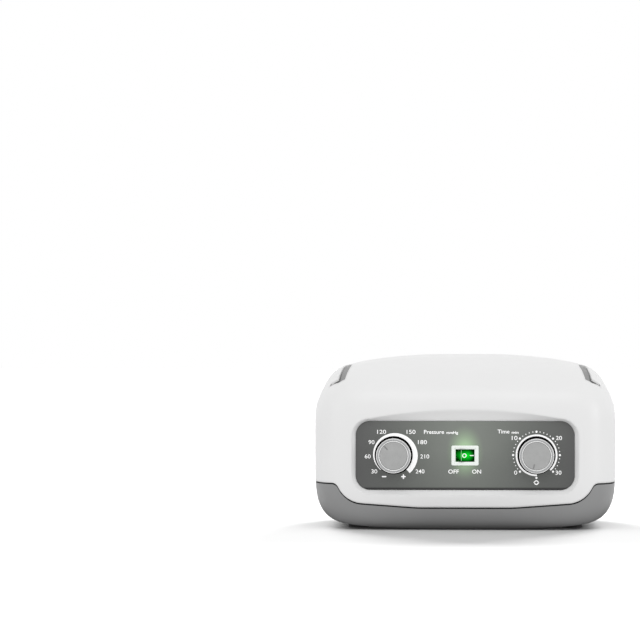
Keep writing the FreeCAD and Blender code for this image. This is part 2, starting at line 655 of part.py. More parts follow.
def control_panel():
    """Printed panel plate in its pocket."""
    plate = rounded_plate(0, PANEL_Z, panel_face_y(), PANEL_SEAT_Y, PANEL_WIDTH, PANEL_HEIGHT,
                          PANEL_CORNER)
    return plate.cut(front_holes(panel_face_y() - 1, PANEL_SEAT_Y + 1))


def knob_face_y():
    return panel_face_y() - KNOB_HEIGHT


def shaft_end_y():
    return knob_face_y() + CAP_THICK + 1.5


def d_bar(x, y0, y1, y_flat, radius, flat):
    """A shaft along Y with a flat on its front end."""
    bar = rod_y(x, PANEL_Z, y0, y1, radius)
    return bar.cut(box(x - radius, x + radius, y0 - 1, y_flat, PANEL_Z + radius - flat,
                       PANEL_Z + radius + 1))


def knob(x):
    """A fluted knob with a skirt, hollow beneath, that pushes onto a flatted shaft."""
    face, back = knob_face_y(), panel_face_y() - KNOB_CLEARANCE
    profile = [V(0, face, 0), V(KNOB_RADIUS - 1.0, face, 0), V(KNOB_RADIUS - 0.2, face + 0.8, 0),
               V(KNOB_RADIUS, back - KNOB_SKIRT, 0), V(KNOB_SKIRT_RADIUS, back - KNOB_SKIRT + 0.5, 0),
               V(KNOB_SKIRT_RADIUS, back, 0), V(0, back, 0), V(0, face, 0)]
    body = Part.Face(Part.makePolygon(profile)).revolve(V(0, 0, 0), Y, 360)
    body.translate(V(x, 0, PANEL_Z))
    flutes = []
    for k in range(KNOB_FLUTES):
        a = 2 * math.pi * k / KNOB_FLUTES
        flutes.append(rod_y(x + (KNOB_RADIUS + 0.15) * math.cos(a),
                            PANEL_Z + (KNOB_RADIUS + 0.15) * math.sin(a),
                            face + 1.6, back - KNOB_SKIRT - 0.2, FLUTE_RADIUS))
    hollow = rod_y(x, PANEL_Z, back - 5.0, back + 1, BUSH_RADIUS + 3.2)
    recess = rod_y(x, PANEL_Z, face - 1, face + CAP_THICK, CAP_RADIUS + CAP_CLEARANCE)
    bore = d_bar(x, shaft_end_y() - 0.1, back + 1, back - 5.0, SHAFT_RADIUS + RUN_CLEARANCE,
                 SHAFT_FLAT)
    return body.cut(flutes + [hollow, recess, bore])


def knob_cap(x, pointer):
    """Disc let into the knob's face, notched where it points."""
    y0, y1 = knob_face_y(), knob_face_y() + CAP_THICK
    disc = rod_y(x, PANEL_Z, y0, y1, CAP_RADIUS)
    rim = [e for e in disc.Edges if abs(e.BoundBox.YMax - y0) < 1e-3 and e.BoundBox.YLength < 1e-3]
    disc = disc.makeChamfer(0.25, rim)
    notch = box(CAP_RADIUS - POINTER_LENGTH, CAP_RADIUS + 1, y0 - 1, y0 + 0.6,
                -POINTER_WIDTH / 2, POINTER_WIDTH / 2)
    notch.rotate(V(0, 0, 0), V(0, -1, 0), pointer)
    notch.translate(V(x, 0, PANEL_Z))
    return disc.cut(notch)


def panel_nuts():
    """Hexagon nuts that hold the regulator and the timer to the panel."""
    y1 = panel_face_y()
    return Part.makeCompound([hexagon_y(s * DIAL_X, PANEL_Z, y1 - NUT_THICK, y1, NUT_ACROSS).cut(
        rod_y(s * DIAL_X, PANEL_Z, y1 - NUT_THICK - 1, y1 + 1, BUSH_RADIUS)) for s in (-1, 1)])


def bush_front_y():
    return panel_face_y() - NUT_THICK - 0.6


def slab_back_y():
    return PANEL_SEAT_Y + WALL


# ---------------------------------------------------------------- rocker switch
def rocker_pivot_y():
    window_half = SWITCH_WINDOW_WIDTH / 2
    reach = math.sqrt((ROCKER_RADIUS + ROCKER_CLEARANCE) ** 2 - window_half ** 2)
    return switch_face_y() + SWITCH_STEP + reach


def switch_face_y():
    return panel_face_y() - SWITCH_BEZEL


def switch_frame():
    """White bezel and body of the rocker switch, open at the front."""
    face = switch_face_y()
    bezel = rounded_plate(0, PANEL_Z, face, panel_face_y(), SWITCH_WIDTH, SWITCH_HEIGHT, 1.2)
    rim = [e for e in bezel.Edges if abs(e.BoundBox.YMax - face) < 1e-3]
    bezel = bezel.makeChamfer(0.4, rim)
    w, h = SWITCH_BODY_WIDTH / 2, SWITCH_BODY_HEIGHT / 2
    body = box(-w, w, panel_face_y(), panel_face_y() + SWITCH_BODY_DEPTH, PANEL_Z - h, PANEL_Z + h)
    ww, wh = SWITCH_WINDOW_WIDTH / 2, SWITCH_WINDOW_HEIGHT / 2
    window = box(-ww, ww, face - 1, rocker_pivot_y(), PANEL_Z - wh, PANEL_Z + wh)
    step = box(-ww - 1.1, ww + 1.1, face - 1, face + 0.6, PANEL_Z - wh - 1.1, PANEL_Z + wh + 1.1)
    cavity = box(-w + 0.5, w - 0.5, face + SWITCH_STEP + 0.1, panel_face_y() + SWITCH_BODY_DEPTH - 2,
                 PANEL_Z - wh, PANEL_Z + wh)
    pins = rod_z(0, rocker_pivot_y(), PANEL_Z - h - 1, PANEL_Z + h + 1, ROCKER_PIN + RUN_CLEARANCE)
    return bezel.fuse(body).cut([window, step, cavity, pins])


def switch_rocker():
    """Green rocker, pressed at its ON end, with end walls curved about the pivot."""
    def at(angle, radius=ROCKER_RADIUS):
        a = math.radians(angle)
        return V(radius * math.sin(a), -radius * math.cos(a), 0)
    corner, skirt = ROCKER_CORNER, ROCKER_SKIRT
    valley = V(0, -(ROCKER_RADIUS * math.cos(math.radians(corner)) - 1.1), 0)
    outline = [Part.Arc(at(-skirt), at(-(skirt + corner) / 2), at(-corner)).toShape(),
               Part.makeLine(at(-corner), valley), Part.makeLine(valley, at(corner)),
               Part.Arc(at(corner), at((skirt + corner) / 2), at(skirt)).toShape(),
               Part.makeLine(at(skirt), V(2.6, 2.4, 0)), Part.makeLine(V(2.6, 2.4, 0), V(-2.6, 2.4, 0)),
               Part.makeLine(V(-2.6, 2.4, 0), at(-skirt))]
    half = SWITCH_WINDOW_HEIGHT / 2 - ROCKER_CLEARANCE
    body = Part.Face(Part.Wire(outline)).extrude(V(0, 0, 2 * half))
    body.translate(V(0, 0, -half))
    pin = rod_z(0, 0, -SWITCH_BODY_HEIGHT / 2 + 0.1, SWITCH_BODY_HEIGHT / 2 - 0.1, ROCKER_PIN)
    rocker = body.fuse(pin)
    rocker.rotate(V(0, 0, 0), Z, ROCKER_TILT)
    rocker.translate(V(0, rocker_pivot_y(), PANEL_Z))
    return rocker


def switch_terminals():
    """Three blades at the back of the switch."""
    y0 = panel_face_y() + SWITCH_BODY_DEPTH
    blades = []
    for x in BLADE_PLACES:
        blade = box(x - 2.4, x + 2.4, y0, y0 + BLADE_LENGTH, PANEL_Z - 0.4, PANEL_Z + 0.4)
        blades.append(blade.cut(rod_z(x, y0 + BLADE_LENGTH - 2.5, PANEL_Z - 1, PANEL_Z + 1, 0.8)))
    return Part.makeCompound(blades)


# ---------------------------------------------------------------- pressure regulator
def regulator_back_y():
    return slab_back_y() + REG_LENGTH


def regulator_body():
    """Regulator cylinder behind the panel, with its threaded bush and relief barb."""
    y0, y1 = slab_back_y(), regulator_back_y()
    body = rod_y(-DIAL_X, PANEL_Z, y0, y1, REG_RADIUS)
    body = body.fuse([rod_y(-DIAL_X, PANEL_Z, bush_front_y(), y0, BUSH_RADIUS),
                      barb(V(-DIAL_X, y1, PANEL_Z), Y)])
    cavity = rod_y(-DIAL_X, PANEL_Z, y0 + REG_WALL, y1 - REG_WALL, REG_RADIUS - REG_WALL)
    keys = [box(-DIAL_X - REG_RADIUS + 1, -DIAL_X + REG_RADIUS - 1, y0 + REG_WALL, y1 - REG_WALL,
                PANEL_Z - REG_KEY / 2 - 0.2, PANEL_Z + REG_KEY / 2 + 0.2)]
    bore = rod_y(-DIAL_X, PANEL_Z, bush_front_y() - 1, y0 + REG_WALL + 1,
                 SHAFT_RADIUS + RUN_CLEARANCE)
    port = rod_y(-DIAL_X, PANEL_Z, y1 - REG_WALL - 1, y1 + BARB_LENGTH + 1, BARB_BORE)
    vent = rod_z(-DIAL_X, y1 - REG_WALL - 2.5, PANEL_Z - REG_RADIUS - 1, PANEL_Z, 1.2)
    return body.cut([cavity, bore, port, vent] + keys)


def regulator_spindle():
    """Spindle that the pressure dial turns: a collar, then the screw for the spring seat."""
    collar_y = slab_back_y() + REG_WALL + 0.3
    bar = d_bar(-DIAL_X, shaft_end_y(), REG_SEAT_Y + REG_SEAT_THICK + 5, bush_front_y() - 1.5,
                SHAFT_RADIUS, SHAFT_FLAT)
    return bar.fuse(rod_y(-DIAL_X, PANEL_Z, collar_y, collar_y + REG_COLLAR, REG_COLLAR_RADIUS))


def regulator_seat():
    """Spring seat that rides the screw and is kept from turning by its two keys."""
    y0, y1 = REG_SEAT_Y, REG_SEAT_Y + REG_SEAT_THICK
    r = REG_RADIUS - REG_WALL - REG_SLIDE_CLEARANCE
    seat = rod_y(-DIAL_X, PANEL_Z, y0, y1, r).fuse(
        box(-DIAL_X - r - 0.9, -DIAL_X + r + 0.9, y0, y1, PANEL_Z - REG_KEY / 2,
            PANEL_Z + REG_KEY / 2))
    return seat.cut(rod_y(-DIAL_X, PANEL_Z, y0 - 1, y1 + 1, SHAFT_RADIUS + RUN_CLEARANCE))


def regulator_spring():
    """Compression spring between the seat and the poppet: a wire along a smooth helix."""
    y0 = REG_SEAT_Y + REG_SEAT_THICK + SPRING_WIRE + 0.1
    length = REG_POPPET_Y - SPRING_WIRE - 0.1 - y0
    steps = 24
    helix = Part.BSplineCurve()
    helix.interpolate([V(SPRING_RADIUS * math.cos(2 * math.pi * k / steps),
                         SPRING_RADIUS * math.sin(2 * math.pi * k / steps),
                         length * k / (steps * SPRING_TURNS))
                       for k in range(steps * SPRING_TURNS + 1)])
    ring = Part.Circle(V(SPRING_RADIUS, 0, 0), helix.tangent(0)[0], SPRING_WIRE)
    coil = Part.Wire(helix.toShape()).makePipeShell([Part.Wire(ring.toShape())], True, True)
    coil.rotate(V(0, 0, 0), X, -90)
    coil.translate(V(-DIAL_X, y0, PANEL_Z))
    return coil


def regulator_poppet():
    """Poppet that the spring holds on its seat."""
    y0 = REG_POPPET_Y
    back = regulator_back_y() - REG_WALL
    disc = rod_y(-DIAL_X, PANEL_Z, y0, y0 + 1.6, SPRING_RADIUS + 1.5)
    return disc.fuse(Part.makeCone(4.5, 2.4, back - y0 - 1.6, V(-DIAL_X, y0 + 1.6, PANEL_Z), Y))


# ---------------------------------------------------------------- clockwork timer
def timer_case():
    """Square case behind the panel, open at the back, with its threaded bush."""
    h, y0 = TIMER_SIDE / 2, slab_back_y()
    case = box(DIAL_X - h, DIAL_X + h, y0, y0 + TIMER_DEEP, PANEL_Z - h, PANEL_Z + h)
    case = case.fuse(rod_y(DIAL_X, PANEL_Z, bush_front_y(), y0, BUSH_RADIUS))
    i = h - TIMER_WALL
    hollow = box(DIAL_X - i, DIAL_X + i, y0 + TIMER_WALL, y0 + TIMER_DEEP + 1, PANEL_Z - i,
                 PANEL_Z + i)
    bore = rod_y(DIAL_X, PANEL_Z, bush_front_y() - 1, y0 + TIMER_WALL + 1,
                 SHAFT_RADIUS + RUN_CLEARANCE)
    pivot = rod_y(DIAL_X, arbor_z(), y0 + 0.8, y0 + TIMER_WALL + 1, ARBOR_RADIUS + RUN_CLEARANCE)
    return case.cut([hollow, bore, pivot])


def arbor_z():
    return PANEL_Z - (WHEEL_TEETH + ESCAPE_TEETH) * WHEEL_MODULE / 2


def timer_plate():
    """Brass back plate with the bearings of the shaft and the arbor."""
    i, y1 = TIMER_SIDE / 2 - TIMER_WALL, slab_back_y() + TIMER_DEEP
    plate = box(DIAL_X - i, DIAL_X + i, y1 - 2, y1, PANEL_Z - i, PANEL_Z + i)
    return plate.cut([rod_y(DIAL_X, PANEL_Z, y1 - 3, y1 + 1, 1.5 + RUN_CLEARANCE),
                      rod_y(DIAL_X, arbor_z(), y1 - 3, y1 + 1, ARBOR_RADIUS + RUN_CLEARANCE)])


def wheel_y():
    return slab_back_y() + TIMER_WALL + 4.0


def timer_shaft():
    """Timer shaft from the knob to the back plate."""
    back = slab_back_y() + TIMER_DEEP
    bar = d_bar(DIAL_X, shaft_end_y(), back - 2.3, bush_front_y() - 1.5, SHAFT_RADIUS, SHAFT_FLAT)
    return bar.fuse(rod_y(DIAL_X, PANEL_Z, back - 3, back, 1.5))


def timer_barrel():
    """Mainspring barrel on the shaft, with the teeth that drive the escapement."""
    y0 = wheel_y()
    wheel = gear(WHEEL_TEETH, WHEEL_MODULE, WHEEL_THICK, DIAL_X, PANEL_Z, y0, math.pi / 2)
    drum = rod_y(DIAL_X, PANEL_Z, y0, y0 + WHEEL_THICK + BARREL_DEEP, BARREL_RADIUS)
    return wheel.fuse(drum).cut(rod_y(DIAL_X, PANEL_Z, y0 - 1, y0 + WHEEL_THICK + BARREL_DEEP + 1,
                                      SHAFT_RADIUS))


def timer_arbor():
    """Escapement arbor with its pinion, in mesh with the wheel above it."""
    y0, back = slab_back_y(), slab_back_y() + TIMER_DEEP
    turn = -math.pi / 2 + math.pi / ESCAPE_TEETH + math.pi
    pinion = gear(ESCAPE_TEETH, WHEEL_MODULE, WHEEL_THICK + 1, DIAL_X, arbor_z(),
                  wheel_y() - 0.5, turn)
    return pinion.fuse(rod_y(DIAL_X, arbor_z(), y0 + 1.1, back, ARBOR_RADIUS))


def escape_wheel():
    """Ratchet-toothed escape wheel at the back of the arbor."""
    y0 = slab_back_y() + TIMER_DEEP - 5.5
    points = []
    for k in range(15):
        a = 2 * math.pi * k / 15
        points += [V(DIAL_X + 2.9 * math.cos(a), y0, arbor_z() + 2.9 * math.sin(a)),
                   V(DIAL_X + 4.2 * math.cos(a), y0, arbor_z() + 4.2 * math.sin(a))]
    wheel = Part.Face(Part.makePolygon(points + [points[0]])).extrude(V(0, 1.2, 0))
    return wheel.cut(rod_y(DIAL_X, arbor_z(), y0 - 1, y0 + 3, ARBOR_RADIUS))


# ================================================================ back of the pump
def mains_inlet():
    """Two-pin appliance inlet with a round-ended recess, held by a flange."""
    y1 = REAR_SEAT_Y
    w, h = INLET_BODY_WIDTH / 2, INLET_BODY_HEIGHT / 2
    body = box(INLET_X - w, INLET_X + w, y1 - 16, y1, INLET_Z - h, INLET_Z + h)
    flange = rounded_plate(INLET_X, INLET_Z, y1, y1 + FLANGE, 36.0, 17.0, 3.0)
    recess = rounded_plate(INLET_X, INLET_Z, y1 - 11, y1 + FLANGE + 1, 17.4, 9.0, 4.4)
    pins = [rod_y(INLET_X + s * INLET_PIN_PITCH / 2, INLET_Z, y1 - 17, y1 - 10, INLET_PIN)
            for s in (-1, 1)]
    holes = [rod_y(INLET_X + s * INLET_SCREW, INLET_Z, y1 - 1, y1 + FLANGE + 1, 1.6)
             for s in (-1, 1)]
    return body.fuse(flange).cut([recess] + pins + holes)


def mains_inlet_pins():
    """Contact pins of the inlet, with solder tails inside."""
    pins = []
    for s in (-1, 1):
        x = INLET_X + s * INLET_PIN_PITCH / 2
        pin = rod_y(x, INLET_Z, REAR_SEAT_Y - 22, REAR_SEAT_Y - 1.5, INLET_PIN)
        pins.append(pin)
    return Part.makeCompound(pins)


def outlet_flange_y():
    return REAR_SEAT_Y + FLANGE


def outlet_face_y():
    return REAR_REACH + OUTLET_CLEAR + OUTLET_DEPTH


def rear_screw(x, z, y, length):
    """A screw driven in from the back, its head on the face at y."""
    head = rod_y(x, z, y, y + SOCKET_SCREW_RISE, SOCKET_SCREW_HEAD)
    slot = [box(x - 1.6, x + 1.6, y + 1.0, y + 2, z - 0.3, z + 0.3),
            box(x - 0.3, x + 0.3, y + 1.0, y + 2, z - 1.6, z + 1.6)]
    return head.fuse(rod_y(x, z, y - length, y, SOCKET_SCREW)).cut(slot)


def rear_screws():
    """Screws that hold the sockets to the rear plate, and the plate to the housing."""
    screws = [rear_screw(x, z, outlet_flange_y(), FLANGE + REAR_PLATE_THICK + 2.0)
              for x, z in socket_screw_places()]
    screws += [rear_screw(x, z, REAR_SEAT_Y, REAR_PLATE_THICK + WALL + 0.5)
               for x, z in plate_screw_places()]
    return Part.makeCompound(screws)


def air_outlet_block():
    """Outlet block: four round sockets in its nose outside, four hose barbs inside."""
    face, back = outlet_face_y(), REAR_SEAT_Y - OUTLET_BACK
    w, h = OUTLET_BODY_WIDTH / 2, OUTLET_BODY_HEIGHT / 2
    block = box(OUTLET_X - w, OUTLET_X + w, back, REAR_SEAT_Y, PANEL_Z - h, PANEL_Z + h)
    flange = rounded_plate(OUTLET_X, PANEL_Z, REAR_SEAT_Y, outlet_flange_y(), 2 * w + 17, 20.0, 3.0)
    nose = rounded_plate(OUTLET_X, PANEL_Z, REAR_SEAT_Y, face - OUTLET_COLLAR, 2 * w - 2,
                         OUTLET_BODY_HEIGHT, 3.0)
    barbs = [barb(V(x, back, PANEL_Z), V(0, -1, 0)) for x in outlet_places()]
    collars = [rod_y(x, PANEL_Z, face - OUTLET_COLLAR - 0.5, face, OUTLET_BORE + OUTLET_RIM)
               for x in outlet_places()]
    cuts = [rod_y(x, PANEL_Z, face - OUTLET_DEPTH, face + 1, OUTLET_BORE) for x in outlet_places()]
    cuts += [rod_y(x, PANEL_Z, back - BARB_LENGTH - 1, face, BARB_BORE) for x in outlet_places()]
    cuts += [rod_y(OUTLET_X + s * (w + FLANGE_SCREW), PANEL_Z, REAR_SEAT_Y - 1,
                   outlet_flange_y() + 1, 1.6) for s in (-1, 1)]
    return block.fuse([flange, nose] + barbs + collars).cut(cuts)


# ================================================================ compressor
def mount_places():
    """Plan places of the compressor's rubber mounts."""
    return [(PUMP_X + sx * MOUNT_SPREAD_X, PUMP_Y + sy * MOUNT_SPREAD_Y)
            for sx in (-1, 1) for sy in (-1, 1)]


def pump_base_top():
    return PUMP_BASE_Z + PUMP_BASE_THICK


def core_back_offset():
    return MAGNET_THICK / 2 + CORE_GAP + CORE_LEG


def core_screw_places():
    y = core_back_offset() + CORE_BACK / 2
    x = CORE_LENGTH / 2 - CORE_TOOTH / 2
    return [(PUMP_X + sx * x, PUMP_Y + sy * y) for sx in (-1, 1) for sy in (-1, 1)]


def pump_frame():
    """Base plate with two end plates and the rests for the magnet cores."""
    top, half = pump_base_top(), PUMP_SIDE / 2
    base = box(PUMP_X - MOUNT_SPREAD_X - 8, PUMP_X + MOUNT_SPREAD_X + 8,
               PUMP_Y - MOUNT_SPREAD_Y - 8, PUMP_Y + MOUNT_SPREAD_Y + 8, PUMP_BASE_Z, top)
    parts = [base]
    for s in (-1, 1):
        x0 = PUMP_X + s * (PUMP_END - PUMP_PLATE)
        x1 = PUMP_X + s * PUMP_END
        plate = box(min(x0, x1), max(x0, x1), PUMP_Y - half, PUMP_Y + half, top - 1, PUMP_Z + half)
        parts.append(plate.cut(rod_x(PUMP_Y, PUMP_Z, min(x0, x1) - 1, max(x0, x1) + 1,
                                     CHAMBER_RADIUS)))
        y0 = PUMP_Y + s * core_back_offset()
        y1 = y0 + s * CORE_BACK
        parts.append(box(PUMP_X - CORE_LENGTH / 2, PUMP_X + CORE_LENGTH / 2, min(y0, y1),
                         max(y0, y1), top - 1, PUMP_Z - CORE_HIGH / 2))
    cuts = [rod_z(x, y, PUMP_BASE_Z - 1, top + 1, 1.6) for x, y in mount_places()]
    cuts += [rod_z(x, y, PUMP_Z - CORE_HIGH / 2 - 6, PUMP_Z, 1.55) for x, y in core_screw_places()]
    return join(parts).cut(cuts)


def coil_cores():
    """Two laminated E cores that face the magnets."""
    cores = []
    for s in (-1, 1):
        near, far = MAGNET_THICK / 2 + CORE_GAP, core_back_offset() + CORE_BACK
        def slab(x0, x1, a, b):
            return box(PUMP_X + x0, PUMP_X + x1, min(PUMP_Y + s * a, PUMP_Y + s * b),
                       max(PUMP_Y + s * a, PUMP_Y + s * b), PUMP_Z - CORE_HIGH / 2,
                       PUMP_Z + CORE_HIGH / 2)
        half, t = CORE_LENGTH / 2, CORE_TOOTH
        core = join([slab(-half, half, core_back_offset(), far), slab(-half, -half + t, near, far),
                     slab(-t / 2, t / 2, near, far), slab(half - t, half, near, far)])
        holes = [rod_z(x, y, PUMP_Z - CORE_HIGH, PUMP_Z + CORE_HIGH, 1.6)
                 for x, y in core_screw_places()]
        cores.append(core.cut(holes))
    return Part.makeCompound(cores)


def coil_windings():
    """Copper windings round the middle tooth of each core."""
    coils = []
    c = COIL_CLEARANCE
    for s in (-1, 1):
        a, b = MAGNET_THICK / 2 + CORE_GAP + 1, core_back_offset() - c
        y0, y1 = sorted((PUMP_Y + s * a, PUMP_Y + s * b))
        hx, hz = CORE_TOOTH / 2 + c, CORE_HIGH / 2 + c
        outer = box(PUMP_X - hx - COIL_THICK, PUMP_X + hx + COIL_THICK, y0, y1,
                    PUMP_Z - hz - COIL_THICK, PUMP_Z + hz + COIL_THICK)
        outer = outer.makeFillet(2.5, [e for e in outer.Edges
                                       if abs(e.BoundBox.YLength - (y1 - y0)) < 1e-6])
        coils.append(outer.cut(box(PUMP_X - hx, PUMP_X + hx, y0 - 1, y1 + 1, PUMP_Z - hz,
                                   PUMP_Z + hz)))
    return Part.makeCompound(coils)


def pump_screws():
    """Screws that hold the cores to their rests, and the base through its rubber mounts to the
    floor bosses."""
    screws = [screw_down(x, y, PUMP_Z + CORE_HIGH / 2, 1.5, 2.8, 1.8, CORE_HIGH + 5)
              for x, y in core_screw_places()]
    screws += [screw_down(x, y, pump_base_top(), 1.45, 3.0, 2.0, PUMP_BASE_THICK + 8 + 5)
               for x, y in mount_places()]
    return Part.makeCompound(screws)


def shuttle_rod():
    """Rod that joins the two diaphragms."""
    reach = PUMP_END + DIAPHRAGM_THICK + CLAMP_THICK + 1.5
    return rod_x(PUMP_Y, PUMP_Z, PUMP_X - reach, PUMP_X + reach, ROD_RADIUS)


def shuttle_magnets():
    """Magnet block carried at the middle of the rod."""
    block = box(PUMP_X - MAGNET_LENGTH / 2, PUMP_X + MAGNET_LENGTH / 2, PUMP_Y - MAGNET_THICK / 2,
                PUMP_Y + MAGNET_THICK / 2, PUMP_Z - MAGNET_HIGH / 2, PUMP_Z + MAGNET_HIGH / 2)
    return block.cut(rod_x(PUMP_Y, PUMP_Z, PUMP_X - MAGNET_LENGTH, PUMP_X + MAGNET_LENGTH,
                           ROD_RADIUS))


def diaphragm_clamps():
    """Discs that grip the middle of each diaphragm from both sides."""
    discs = []
    for s in (-1, 1):
        for start in (PUMP_END - CLAMP_THICK, PUMP_END + DIAPHRAGM_THICK):
            x0, x1 = sorted((PUMP_X + s * start, PUMP_X + s * (start + CLAMP_THICK)))
            discs.append(rod_x(PUMP_Y, PUMP_Z, x0, x1, CLAMP_RADIUS).cut(
                rod_x(PUMP_Y, PUMP_Z, x0 - 1, x1 + 1, ROD_RADIUS)))
    return Part.makeCompound(discs)


def diaphragms():
    """Rubber diaphragms clamped between the end plates and the heads."""
    sheets = []
    for s in (-1, 1):
        x0, x1 = sorted((PUMP_X + s * PUMP_END, PUMP_X + s * (PUMP_END + DIAPHRAGM_THICK)))
        sheets.append(rod_x(PUMP_Y, PUMP_Z, x0, x1, DIAPHRAGM_RADIUS).cut(
            rod_x(PUMP_Y, PUMP_Z, x0 - 1, x1 + 1, ROD_RADIUS)))
    return Part.makeCompound(sheets)


def head_barbs():
    """Y places of the two barbs on top of each head."""
    return [PUMP_Y - 10.0, PUMP_Y + 10.0]


def head_top():
    return PUMP_Z + PUMP_SIDE / 2


def head_x(side):
    return PUMP_X + side * (PUMP_END + DIAPHRAGM_THICK + HEAD_DEEP / 2)


def pump_head(side):
    """Valve head: a chamber over the diaphragm and two barbs on top."""
    half = PUMP_SIDE / 2
    x0, x1 = sorted((PUMP_X + side * (PUMP_END + DIAPHRAGM_THICK),
                     PUMP_X + side * (PUMP_END + DIAPHRAGM_THICK + HEAD_DEEP)))
    block = box(x0, x1, PUMP_Y - half, PUMP_Y + half, PUMP_Z - half + 4, PUMP_Z + half)
    block = block.makeFillet(3.0, [e for e in block.Edges
                                   if abs(e.BoundBox.XLength - HEAD_DEEP) < 1e-6])
    c0, c1 = sorted((PUMP_X + side * (PUMP_END + DIAPHRAGM_THICK - 1),
                     PUMP_X + side * (PUMP_END + DIAPHRAGM_THICK + CHAMBER_DEEP)))
    chamber = rod_x(PUMP_Y, PUMP_Z, c0, c1, CHAMBER_RADIUS)
    spouts = [barb(V(head_x(side), y, head_top()), Z) for y in head_barbs()]
    ways = [rod_z(head_x(side), y, PUMP_Z + 8, head_top() + BARB_LENGTH + 1, BARB_BORE)
            for y in head_barbs()]
    ribs = []
    outer_x = x1 if side > 0 else x0
    for k in range(-2, 3):
        y = PUMP_Y + 8 * k
        ribs.append(box(min(outer_x, outer_x + side * 1.2), max(outer_x, outer_x + side * 1.2),
                        y - 1, y + 1, PUMP_Z - half + 9, PUMP_Z + half - 5))
    return join([block.cut(chamber)] + spouts + ribs).cut(ways)


def pump_mounts():
    """Rubber mounts between the floor bosses and the compressor's base."""
    mounts = []
    for x, y in mount_places():
        z0, z1 = PUMP_BASE_Z - 8, PUMP_BASE_Z
        mount = rod_z(x, y, z0, z1, MOUNT_RADIUS)
        waist = Part.makeTorus(MOUNT_RADIUS + 1.2, 2.4, V(x, y, (z0 + z1) / 2), Z)
        mounts.append(mount.cut([waist, rod_z(x, y, z0 - 1, z1 + 1, 1.6)]))
    return Part.makeCompound(mounts)


# ================================================================ air distributor
def port_places():
    return [VALVE_X + PORT_PITCH * (k - (OUTLET_COUNT - 1) / 2) for k in range(OUTLET_COUNT)]


def manifold_back():
    return VALVE_FACE_Y + MANIFOLD_DEEP


def manifold_leg_plans():
    """Plan of each leg under the manifold: x from and to, y from and to."""
    outer = MANIFOLD_WIDTH / 2
    spans = [(VALVE_X - outer, VALVE_X - outer + MANIFOLD_LEG),
             (VALVE_X + outer - MANIFOLD_LEG, VALVE_X + outer)]
    return [(x0, x1, manifold_back() - MANIFOLD_LEG, manifold_back()) for x0, x1 in spans]


def valve_body():
    """Manifold with four ports to the rear, a bearing for the rotor and a foot to the floor."""
    w, h = MANIFOLD_WIDTH / 2, MANIFOLD_HEIGHT / 2
    y0, y1 = VALVE_FACE_Y, manifold_back()
    block = box(VALVE_X - w, VALVE_X + w, y0, y1, VALVE_Z - h, VALVE_Z + h)
    disc = rod_y(VALVE_X, VALVE_Z, y0, y0 + 6, COVER_RADIUS + COVER_WALL)
    legs = [box(*plan, floor_z(), VALVE_Z - h + 1) for plan in manifold_leg_plans()]
    barbs = [barb(V(x, y1, VALVE_Z), Y) for x in port_places()]
    cuts = [rod_y(VALVE_X, VALVE_Z, y0 - 1, y0 + 9, ROTOR_SHAFT + RUN_CLEARANCE)]
    cuts += [rod_y(x, VALVE_Z, y0 + 10, y1 + BARB_LENGTH + 1, BARB_BORE) for x in port_places()]
    return join([block, disc] + legs + barbs).cut(cuts)


def valve_cover():
    """Cup over the rotor with the air inlet barb on top."""
    y0, y1 = VALVE_FACE_Y - COVER_DEEP, VALVE_FACE_Y
    cup = rod_y(VALVE_X, VALVE_Z, y0, y1, COVER_RADIUS + COVER_WALL)
    spout = barb(V(VALVE_X, valve_inlet_y(), VALVE_Z + COVER_RADIUS + COVER_WALL - 0.6), Z)
    inside = rod_y(VALVE_X, VALVE_Z, y0 + COVER_WALL, y1 + 1, COVER_RADIUS)
    bore = rod_y(VALVE_X, VALVE_Z, y0 - 1, y1, ROTOR_SHAFT + RUN_CLEARANCE)
    way = rod_z(VALVE_X, valve_inlet_y(), VALVE_Z + COVER_RADIUS - 2, VALVE_Z + 60, BARB_BORE)
    return cup.fuse(spout).cut([inside, bore, way])


def valve_inlet_y():
    return VALVE_FACE_Y - COVER_DEEP / 2


def valve_rotor():
    """Rotor disc with one curved slot that feeds the ports in turn, and its shaft."""
    y1 = VALVE_FACE_Y - ROTOR_GAP
    y0 = y1 - ROTOR_THICK
    disc = rod_y(VALVE_X, VALVE_Z, y0, y1, ROTOR_RADIUS)
    slot = rod_y(VALVE_X, VALVE_Z, y0 - 1, y1 + 1, 13.5).cut(
        rod_y(VALVE_X, VALVE_Z, y0 - 2, y1 + 2, 9.5)).common(
        box(VALVE_X, VALVE_X + 20, y0 - 1, y1 + 1, VALVE_Z, VALVE_Z + 20))
    shaft = rod_y(VALVE_X, VALVE_Z, bracket_y(), VALVE_FACE_Y + 8, ROTOR_SHAFT)
    return disc.cut(slot).fuse(shaft)


def gear_y():
    return VALVE_FACE_Y - COVER_DEEP - GEAR_STANDOFF - GEAR_THICK


def bracket_y():
    return gear_y() - GEAR_STANDOFF - BRACKET_THICK


def pinion_z():
    return VALVE_Z - (GEAR_TEETH + PINION_TEETH) * GEAR_MODULE / 2


def valve_gear():
    """Large gear on the rotor shaft."""
    y0 = gear_y()
    wheel = gear(GEAR_TEETH, GEAR_MODULE, GEAR_THICK, VALVE_X, VALVE_Z, y0, math.pi / 2)
    hub = rod_y(VALVE_X, VALVE_Z, y0, y0 + GEAR_THICK, 5.5)
    web = rod_y(VALVE_X, VALVE_Z, y0 + 1.2, y0 + GEAR_THICK + 1, 11.5)
    return wheel.cut(web).fuse(hub).cut(rod_y(VALVE_X, VALVE_Z, y0 - 1, y0 + 9, ROTOR_SHAFT))


